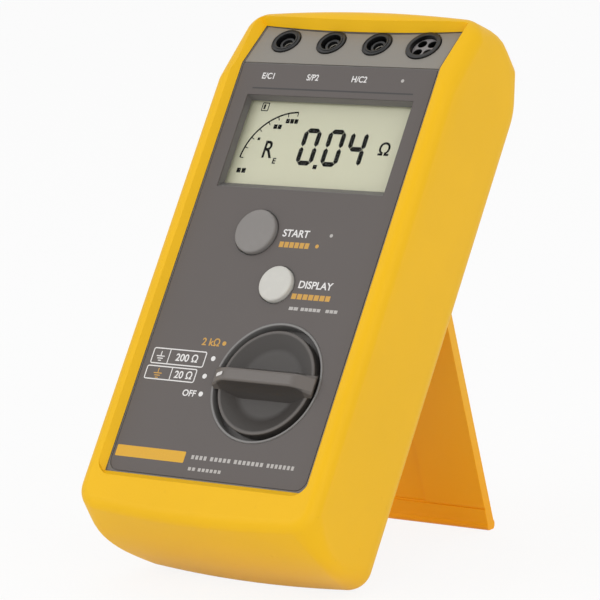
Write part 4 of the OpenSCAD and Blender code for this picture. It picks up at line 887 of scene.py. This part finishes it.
class TESTER_OT_films(bpy.types.Operator):
    """Lays the printed films on the flat face and on the socket slope"""
    bl_idname = "tester.films"
    bl_label = "Printed films"

    def execute(self, context):
        inset = 2 * GAP
        reach, radius = FACE_HALF - inset, FACE_CORNER_R - inset
        low, high = FACE_LOW + inset, FOLD_Y - SHEET_T / 2
        self.film("face", BODY, "face_print", colours().face,
                  rounded([(-reach, low, radius), (reach, low, radius), (reach, high), (-reach, high)]),
                  [rectangle(-WINDOW_HALF, WINDOW_LOW, WINDOW_HALF, WINDOW_HIGH),
                   ring(START_R + inset, 96, *START_AT), ring(DISPLAY_R + inset, 96, *DISPLAY_AT),
                   ring(WELL_R + WELL_RIM_W, 160, *KNOB_AT)])
        start, top = SHEET_T + GAP / 2, [reach * (1 - i / 20) for i in range(41)]
        self.film("socket", ON_SLOPE, "socket_print", colours().slope, [(-reach, start), (reach, start)] + [
            (x, SLOPE_LEN + BULGE_R - math.sqrt((BULGE_R + inset) ** 2 - x * x)) for x in top],
            [ring(SOCKET_R + GAP, 96, x, SOCKET_UP) for x in SOCKETS_X]
            + [ring(ACCESSORY_R + GAP, 96, ACCESSORY_X, SOCKET_UP)])
        return {"FINISHED"}

    def film(self, name, base, slot, rgb, outline, openings):
        """One film, with its openings cut through."""
        sheet = shaped(prism(outline, -SHEET_T, 0), *(prism(opening, -2, 1) for opening in openings))
        piece(name + "_film", cleaned(sheet, base), printed_film(name + "_film", rgb), "tester", slot,
              [name + "_sheet"], sharp=20)


class TESTER_OT_selector(bpy.types.Operator):
    """Builds the dished selector knob with its grip bar and pointer, and the lining of its well"""
    bl_idname = "tester.selector"
    bl_label = "Selector"

    def execute(self, context):
        place, dish_r = at(KNOB_AT), KNOB_R - RIM_W
        disc = turned(rounded([(0, KNOB_UNDER_Z), (KNOB_R, KNOB_UNDER_Z, 0.7), (KNOB_R, RIM_H, 0.5),
                               (dish_r, RIM_H, 0.5), (dish_r - DISH_R, DISH_Z, DISH_R), (0, DISH_Z)]), 144)
        hub = prism(ring(HUB_R, 64), HUB_END_Z, KNOB_UNDER_Z + 0.5)
        piece("selector_dial", cleaned(shaped(disc, hub, self.grip_bar(), operation="UNION"), place),
              knob_plastic(), "selector", "knob_plastic", ["selector_knob"], sharp=28)
        pointer = Marks(place @ self.on_tip())
        pointer.bar(*POINTER)
        pointer.show("pointer_mark", ink("pointer_ink", colours().white_print), "selector", "knob_plastic")
        lining = turned([(WELL_R + out, z) for out, z in (
            (-0.35, WELL_FLOOR_Z), (-0.35, -0.1), (-0.25, 0.2), (0, 0.34), (0.4, 0.34), (0.62, 0.2),
            (0.7, -0.1), (0.7, WELL_FLOOR_Z))], 160)
        piece("well_lining", moved(lining, place), moulded("well_plastic", srgb(128, 126, 124), 0.4, 0.00001),
              "tester", "case_plastic")
        return {"FINISHED"}

    def top_z(self, x):
        """Height of the grip bar's top at a distance from its middle."""
        fall, past = (BAR_H - BAR_TIP_Z) / BAR_SLOPE_L, x - (BAR_REACH - BAR_SLOPE_L)
        if past < -BAR_BEND_SOFT:
            return BAR_H
        if past > BAR_BEND_SOFT:
            return BAR_H - past * fall
        return BAR_H - fall * (past + BAR_BEND_SOFT) ** 2 / (4 * BAR_BEND_SOFT)

    def half_width(self, z):
        """Half width of the hollow-flanked bar at a height."""
        share = max(0.0, (BAR_H - z) / (BAR_H - BAR_LOW))
        return BAR_TOP_HALF + (BAR_ROOT_HALF - BAR_TOP_HALF) * share ** BAR_FLARE

    def grip_bar(self):
        """The bar as sections along its length, rounded on top and at both ends."""
        ends = [0.86, 0.865, 0.87, 0.89, 0.91, 0.93, 0.95, 0.97, 0.985, 1.0]
        sections = []
        for share in [-e for e in reversed(ends)] + [i / 30 for i in range(-25, 26)] + ends:
            reach, shrink = abs(share) * BAR_REACH, BAR_END_SHRINK if abs(share) == 1 else 0.0
            low = (BAR_LOW if reach < KNOB_R - 1 else BAR_END_LOW) + shrink
            top = self.top_z(reach) - shrink
            soft = min(BAR_SOFT, (top - low) * 0.4)
            heights = [low + (top - soft - low) * i / 10 for i in range(11)]
            right = [(self.half_width(z) - shrink, z) for z in heights]
            right += arc_points(right[-1][0] - soft, top - soft, soft, 15, 90, 5)
            sections.append([(share * math.sqrt(BAR_REACH ** 2 - w * w), w, z)
                             for w, z in right + [(-w, z) for w, z in reversed(right)]])
        return lofted(sections)

    def on_tip(self):
        """The plane of the pointer's sloping tip, just over its surface."""
        fall, x = math.atan2(BAR_H - BAR_TIP_Z, BAR_SLOPE_L), BAR_REACH - TIP_BACK
        return (Matrix.Translation((-x, 0, self.top_z(x) + TIP_OVER)) @ Matrix.Rotation(-fall, 4, "Y")
                @ Matrix.Translation((-TIP_MARK_BACK, 0, 0)))


class TESTER_OT_keys(bpy.types.Operator):
    """Builds the two crowned rubber keys"""
    bl_idname = "tester.keys"
    bl_label = "Keys"

    def execute(self, context):
        for name, place, radius, rgb in (("start", START_AT, START_R, colours().start_key),
                                         ("display", DISPLAY_AT, DISPLAY_R, colours().display_key)):
            edge = corner_arc((radius, KEY_STOP_Z), (radius, KEY_H - KEY_RIM_DROP), (0, KEY_H - KEY_TOP_DROP),
                              KEY_SOFT, 8)
            crown = [(radius * share, KEY_H - KEY_CROWN * share ** 2)
                     for share in (0.9, 0.75, 0.6, 0.45, 0.3, 0.15, 0)]
            profile = ([(0, KEY_FLANGE_Z), (radius + KEY_FLANGE_W, KEY_FLANGE_Z),
                        (radius + KEY_FLANGE_W, KEY_STOP_Z), (radius, KEY_STOP_Z)] + edge
                       + [(r, z) for r, z in crown if r < edge[-1][0] - 0.1])
            slot = name + "_key_rubber"
            piece(name + "_cap", moved(turned(profile), at(place)), keypad_rubber(slot, rgb),
                  name + "_button", slot, [name + "_key"])
        return {"FINISHED"}


class TESTER_OT_sockets(bpy.types.Operator):
    """Builds the three shrouded test sockets with their contacts, and the round accessory socket"""
    bl_idname = "tester.sockets"
    bl_label = "Sockets"

    def execute(self, context):
        black = moulded("socket_plastic", colours().sockets, 0.38, 0.00001)
        nickel = turned_metal("dull_nickel", 0.4, 0.14, (118, 114, 106), (160, 156, 146))
        inner = SOCKET_R - SHROUD_WALL
        shroud = rounded([
            (RECESS_R, CONTACT_BASE_Z), (RECESS_R, FLANGE_H, 0.25), (RECESS_R + 0.7, FLANGE_H),
            (RECESS_R + 0.8, SHROUD_GROOVE_Z), (inner, SHROUD_GROOVE_Z), (SOCKET_R - 0.5, FLANGE_H),
            (SOCKET_R, FLANGE_H, 0.3), (SOCKET_R, -SHEET_T), (inner, -SHEET_T), (inner, -SOCKET_DEPTH),
            (SHROUD_HOLE_R, -SOCKET_DEPTH), (SHROUD_HOLE_R, CONTACT_BASE_Z)], steps=5)
        contact = [(BORE_R, BORE_END_Z), (BORE_R, CONTACT_Z - CONTACT_CHAMFER),
                   (BORE_R + CONTACT_CHAMFER, CONTACT_Z), (CONTACT_R - CONTACT_EDGE, CONTACT_Z),
                   (CONTACT_R, CONTACT_Z - CONTACT_EDGE), (CONTACT_R, CONTACT_BASE_Z), (TAIL_R, CONTACT_BASE_Z),
                   (TAIL_R, TAIL_END_Z), (0, TAIL_END_Z), (0, BORE_END_Z)]
        bore, rim, foot = BORE_R + 0.1, CONTACT_R + 0.2, CONTACT_Z - 0.1
        collar = [(bore, foot), (bore, COLLAR_Z), (BORE_R + 0.5, COLLAR_Z + COLLAR_LIP),
                  (CONTACT_R, COLLAR_Z + COLLAR_LIP), (rim, COLLAR_Z - 0.1), (rim, foot)]
        places = [at((x, SOCKET_UP), ON_SLOPE) for x in SOCKETS_X]
        for name, place in zip(("left", "middle", "right"), places):
            piece(name + "_shroud", moved(turned(shroud), place), black, "tester", "case_plastic",
                  [name + "_socket"])
            piece(name + "_sleeve", moved(turned(contact, 48), place), nickel, "tester", "contact_brass",
                  [name + "_contact"])
        piece("contact_collars", together(*(moved(turned(collar, 64), place) for place in places)),
              moulded("collar_plastic", srgb(34, 34, 35), 0.3, 0.00001), "tester", "case_plastic")
        place = at((ACCESSORY_X, SOCKET_UP), ON_SLOPE)
        inner = ACCESSORY_R - SHROUD_WALL
        housing = rounded([(INSERT_R, -SOCKET_DEPTH), (INSERT_R, FLANGE_H, 0.3), (ACCESSORY_R, FLANGE_H, 0.35),
                           (ACCESSORY_R, -SHEET_T), (inner, -SHEET_T), (inner, -SOCKET_DEPTH)], steps=6)
        piece("accessory_housing", moved(turned(housing), place), black, "tester", "case_plastic",
              ["accessory_socket"])
        rim = INSERT_R - 0.02
        insert = turned(rounded([(0, -SOCKET_DEPTH), (rim, -SOCKET_DEPTH), (rim, INSERT_Z, 0.3), (0, INSERT_Z)],
                                steps=5))
        low, high = INSERT_Z - MOUTH_DEPTH, INSERT_Z + 0.1
        for turn in PIN_TURNS:
            mouth = moved(turned([(0, low), (MOUTH_FOOT_R, low), (MOUTH_R, high), (0, high)], 40),
                          Matrix.Translation((*spoke(0, 0, MOUTH_CIRCLE_R, turn), 0)))
            hole = ring(PIN_HOLE_R, 40, *spoke(0, 0, PIN_CIRCLE_R, turn))
            insert = shaped(insert, prism(hole, CONTACT_BASE_Z, 1), mouth)
        piece("accessory_insert", cleaned(insert, place), insert_plastic(place), "tester", "frame_plastic")
        return {"FINISHED"}


class TESTER_OT_display(bpy.types.Operator):
    """Draws the reading on the liquid crystal panel"""
    bl_idname = "tester.display"
    bl_label = "Display"

    def execute(self, context):
        marks = Marks(BODY, CRYSTAL_Z)
        for text, x in FIGURES:
            marks.digit(text, x, FIGURE_Y, FIGURE_W, FIGURE_H, FIGURE_STROKE)
        marks.arc(*SCALE_AT, SCALE_R, SCALE_FIRST, SCALE_LAST, SCALE_LINE)
        for turn in range(SCALE_FIRST, SCALE_LAST - 1, -TICK_STEP):
            marks.stroke(*spoke(*SCALE_AT, SCALE_R - TICK_L, turn), *spoke(*SCALE_AT, SCALE_R, turn), TICK_LINE)
        marks.put(**SHOWN)
        marks.show("display_segments", ink("segment_ink", colours().segments, 0.6, specular_ior_level=0.1),
                   slot="crystal")
        return {"FINISHED"}


class TESTER_OT_print(bpy.types.Operator):
    """Prints the generic marks on the face: key and terminal marks, selector positions and bare plates"""
    bl_idname = "tester.print"
    bl_label = "Face print"

    def execute(self, context):
        inks = {shade: Marks(BODY) for shade in PRINTED}
        for shade, marks in inks.items():
            marks.put(**PRINTED[shade])
        for shade, x, y in EARTH_SIGNS:
            for i, half in enumerate(EARTH_BARS):
                high = y - EARTH_PITCH * i
                inks[shade].bar(x - half, high - EARTH_LINE, x + half, high)
            inks[shade].bar(x - EARTH_LINE / 2, y, x + EARTH_LINE / 2, y + EARTH_STEM)
        for shade, name, rgb in (("white", "white_print", colours().white_print),
                                 ("orange", "orange_print", colours().orange_print),
                                 ("yellow", "yellow_plate", colours().yellow_plate),
                                 ("faint", "faint_print", colours().faint_print),
                                 ("dark", "window_line", colours().dark_print)):
            inks[shade].show(name, ink(shade + "_ink", rgb))
        return {"FINISHED"}


class TESTER_OT_stand(bpy.types.Operator):
    """Builds the tilt stand with its barrel, foot bead, channel and groove"""
    bl_idname = "tester.stand"
    bl_label = "Tilt stand"

    def execute(self, context):
        low, top, over = FOOT_PAD - STAND_L, STAND_T / 2, 2 * STAND_HALF
        channel = prism(rectangle(-CHANNEL_W / 2, low, CHANNEL_W / 2, -2 * BARREL_R), top - CHANNEL_D, top + 1)
        groove = prism(rectangle(-over, low - GROOVE_W, over, low), top - GROOVE_D, top + 1)
        form = shaped(prism(self.outline(), -STAND_HALF, STAND_HALF, "x"), channel, groove)
        for side in (-1, 1):
            ends = sorted((side * (STAND_HALF - 2), side * (STAND_HALF + TRUNNION_L)))
            form = shaped(form, prism(ring(TRUNNION_R, 48), *ends, "x"), operation="UNION")

        def share(point):
            if abs(abs(point.x) - STAND_HALF) < 0.01 and math.hypot(point.y, point.z) > TRUNNION_R + 0.1:
                return 1.0 if point.y < -3 or abs(point.z) > 0 else 0.0
            return 0.3 if point.z > top - 0.01 and point.y < -4 else 0.0

        piece("tilt_frame", weighed(cleaned(form, ON_STAND, floor=True), ON_STAND, share), stand_plastic(),
              "stand", "stand_plastic", ["tilt_stand"], edge=sizes().stand_edge)
        return {"FINISHED"}

    def outline(self):
        """Side view of the stand: foot bead, plate, barrel and the stop behind it."""
        half = STAND_T / 2
        lift = math.degrees(math.asin(half / BARREL_R))
        tail = math.degrees(math.acos(STOP_TAIL / BARREL_R))
        return (arc_points(-STAND_L, 0, FOOT_R, lift, 360 - lift, 36)
                + arc_points(0, 0, BARREL_R, lift - 180, -lift, 12) + [(STOP_TAIL, -half)]
                + arc_points(0, 0, BARREL_R, -tail, tail, 16) + [(STOP_TAIL, half)]
                + arc_points(0, 0, BARREL_R, lift, 180 - lift, 12))


class TESTER_OT_inside(bpy.types.Operator):
    """Gives the solids that stay as they are their finishes"""
    bl_idname = "tester.inside"
    bl_label = "Case and inner parts"

    def execute(self, context):
        for finish, names in (
                (moulded("case_plastic", colours().case, 0.45, 0.00002), "front_case rear_case battery_door"),
                (moulded("black_plastic", srgb(30, 30, 32), 0.45, 0.00001), "start_switch display_switch "
                 "start_plunger display_plunger measuring_chip buzzer battery_snap"),
                (moulded("white_plastic", srgb(224, 222, 214), 0.45, 0.00001),
                 "crystal_frame relays detent_rotor"),
                (moulded("seal_rubber", srgb(28, 28, 28), 0.7, 0.00002), "case_seal shaft_seal contact_strips"),
                (moulded("ribbon_film", srgb(200, 170, 120), 0.3, 0.00001), "ribbon"),
                (moulded("winding_tape", srgb(205, 176, 84), 0.5, 0.00002, scale=600), "transformer"),
                (moulded("battery_jacket", srgb(78, 88, 100), 0.35, 0.00001), "battery"),
                (turned_metal("turned_brass", 0.28, 0.16, (196, 160, 84), (232, 204, 130)),
                 "accessory_contacts wiper_springs"),
                (zinc_steel(), "board_screws case_screws door_screws rotor_screw detent_spring"),
                (circuit_board(), "main_board socket_board"),
                (clear_pane(), "display_pane"),
                (crystal_glass(), "crystal_panel")):
            for node in (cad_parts[name] for name in names.split()):
                if not node.data.materials:
                    node.data.materials.append(finish)
                for slot in node.material_slots:
                    slot.material = finish
        return {"FINISHED"}


class TESTER_OT_stage(bpy.types.Operator):
    """Sets the pale floor, the soft studio light and the camera at the photograph's angle"""
    bl_idname = "tester.stage"
    bl_label = "Stage"

    def execute(self, context):
        scene = context.scene
        scene.view_settings.view_transform = "Standard"
        self.floor()
        self.sky(scene)
        for name, place, size, power in LAMPS:
            self.lamp(name, Vector(place), size, power)
        lens = bpy.data.cameras.new("photo_camera")
        lens.lens, lens.sensor_width = CAMERA_LENS, CAMERA_SENSOR
        lens.clip_start, lens.clip_end = CAMERA_CLIP
        camera = shown("photo_camera", lens)
        turn = Euler(CAMERA_TURN).to_matrix().to_4x4()
        place, spin, _ = (BODY @ Matrix.Translation(CAMERA_AT) @ turn).decompose()
        camera.matrix_world = Matrix.Translation(place) @ spin.to_matrix().to_4x4()
        scene.camera = camera
        return {"FINISHED"}

    def floor(self):
        """White paper that keeps the soft shadow and looks white to the camera, mirrors and glass."""
        finish = Finish("floor_paper", 0.85)
        fine = finish.noise(90)
        finish.shade(base_color=finish.mix(fine, (0.92, 0.92, 0.92), (0.96, 0.96, 0.96)),
                     normal=finish.bump(fine, 0.0001, 0.2))
        white = finish.read("ShaderNodeEmission", {}, {"Color": (1, 1, 1), "Strength": 1.0})
        finish.put(finish.end, "Surface", finish.read("ShaderNodeMixShader", {}, {
            0: FLOOR_WHITE * finish.seen(), 1: finish.lit, 2: white}))
        made = shown("floor", prism(rounded(rectangle(-FLOOR_HALF, -FLOOR_HALF, FLOOR_HALF, FLOOR_HALF),
                                            FLOOR_HALF / 2, 24), -0.02, -0.00001))
        made.data.materials.append(finish.material)

    def sky(self, scene):
        """Even white light; what the camera, mirrors and glass see is plain white."""
        scene.world = bpy.data.worlds.new("studio")
        nodes = Nodes(scene.world)
        light, white = (nodes.read("ShaderNodeBackground", {}, {"Color": (1, 1, 1), "Strength": strength})
                        for strength in (SKY_LIGHT, 1.0))
        both = nodes.read("ShaderNodeMixShader", {}, {0: nodes.seen(), 1: light, 2: white})
        nodes.add("ShaderNodeOutputWorld", {}, {"Surface": both})

    def lamp(self, name, place, size, power):
        """A square soft light aimed at the tester."""
        light = bpy.data.lights.new(name, "AREA")
        light.shape, light.size, light.energy = "SQUARE", size, power
        made = shown(name, light)
        made.location = place
        made.rotation_euler = (Vector(LAMPS_AIM) - place).to_track_quat("-Z", "Y").to_euler()


class TESTER_PT_pieces(bpy.types.Panel):
    """Lists the tester's pieces, sizes and colours"""
    bl_label = "Ground Resistance Tester"
    bl_idname = "TESTER_PT_pieces"
    bl_space_type = "VIEW_3D"
    bl_region_type = "UI"
    bl_category = "Tester"

    def draw(self, context):
        for operator in OPERATORS:
            self.layout.operator(operator.bl_idname)
        for group in (context.scene.tester_sizes, context.scene.tester_colours):
            box = self.layout.box()
            for name in group.__annotations__:
                box.prop(group, name)


OPERATORS = (TESTER_OT_stage, TESTER_OT_holster, TESTER_OT_films, TESTER_OT_selector, TESTER_OT_keys,
             TESTER_OT_sockets, TESTER_OT_display, TESTER_OT_print, TESTER_OT_stand, TESTER_OT_inside)
CLASSES = (TesterSizes, TesterColours, *OPERATORS, TESTER_PT_pieces)


def register():
    for item in CLASSES:
        bpy.utils.register_class(item)
    bpy.types.Scene.tester_sizes = PointerProperty(type=TesterSizes)
    bpy.types.Scene.tester_colours = PointerProperty(type=TesterColours)


def unregister():
    del bpy.types.Scene.tester_colours
    del bpy.types.Scene.tester_sizes
    for item in reversed(CLASSES):
        bpy.utils.unregister_class(item)


def main():
    register()
    bpy.ops.tester.stage()
    bpy.ops.tester.holster()
    bpy.ops.tester.films()
    bpy.ops.tester.selector()
    bpy.ops.tester.keys()
    bpy.ops.tester.sockets()
    bpy.ops.tester.display()
    bpy.ops.tester.print()
    bpy.ops.tester.stand()
    bpy.ops.tester.inside()


if __name__ == "__main__":
    main()
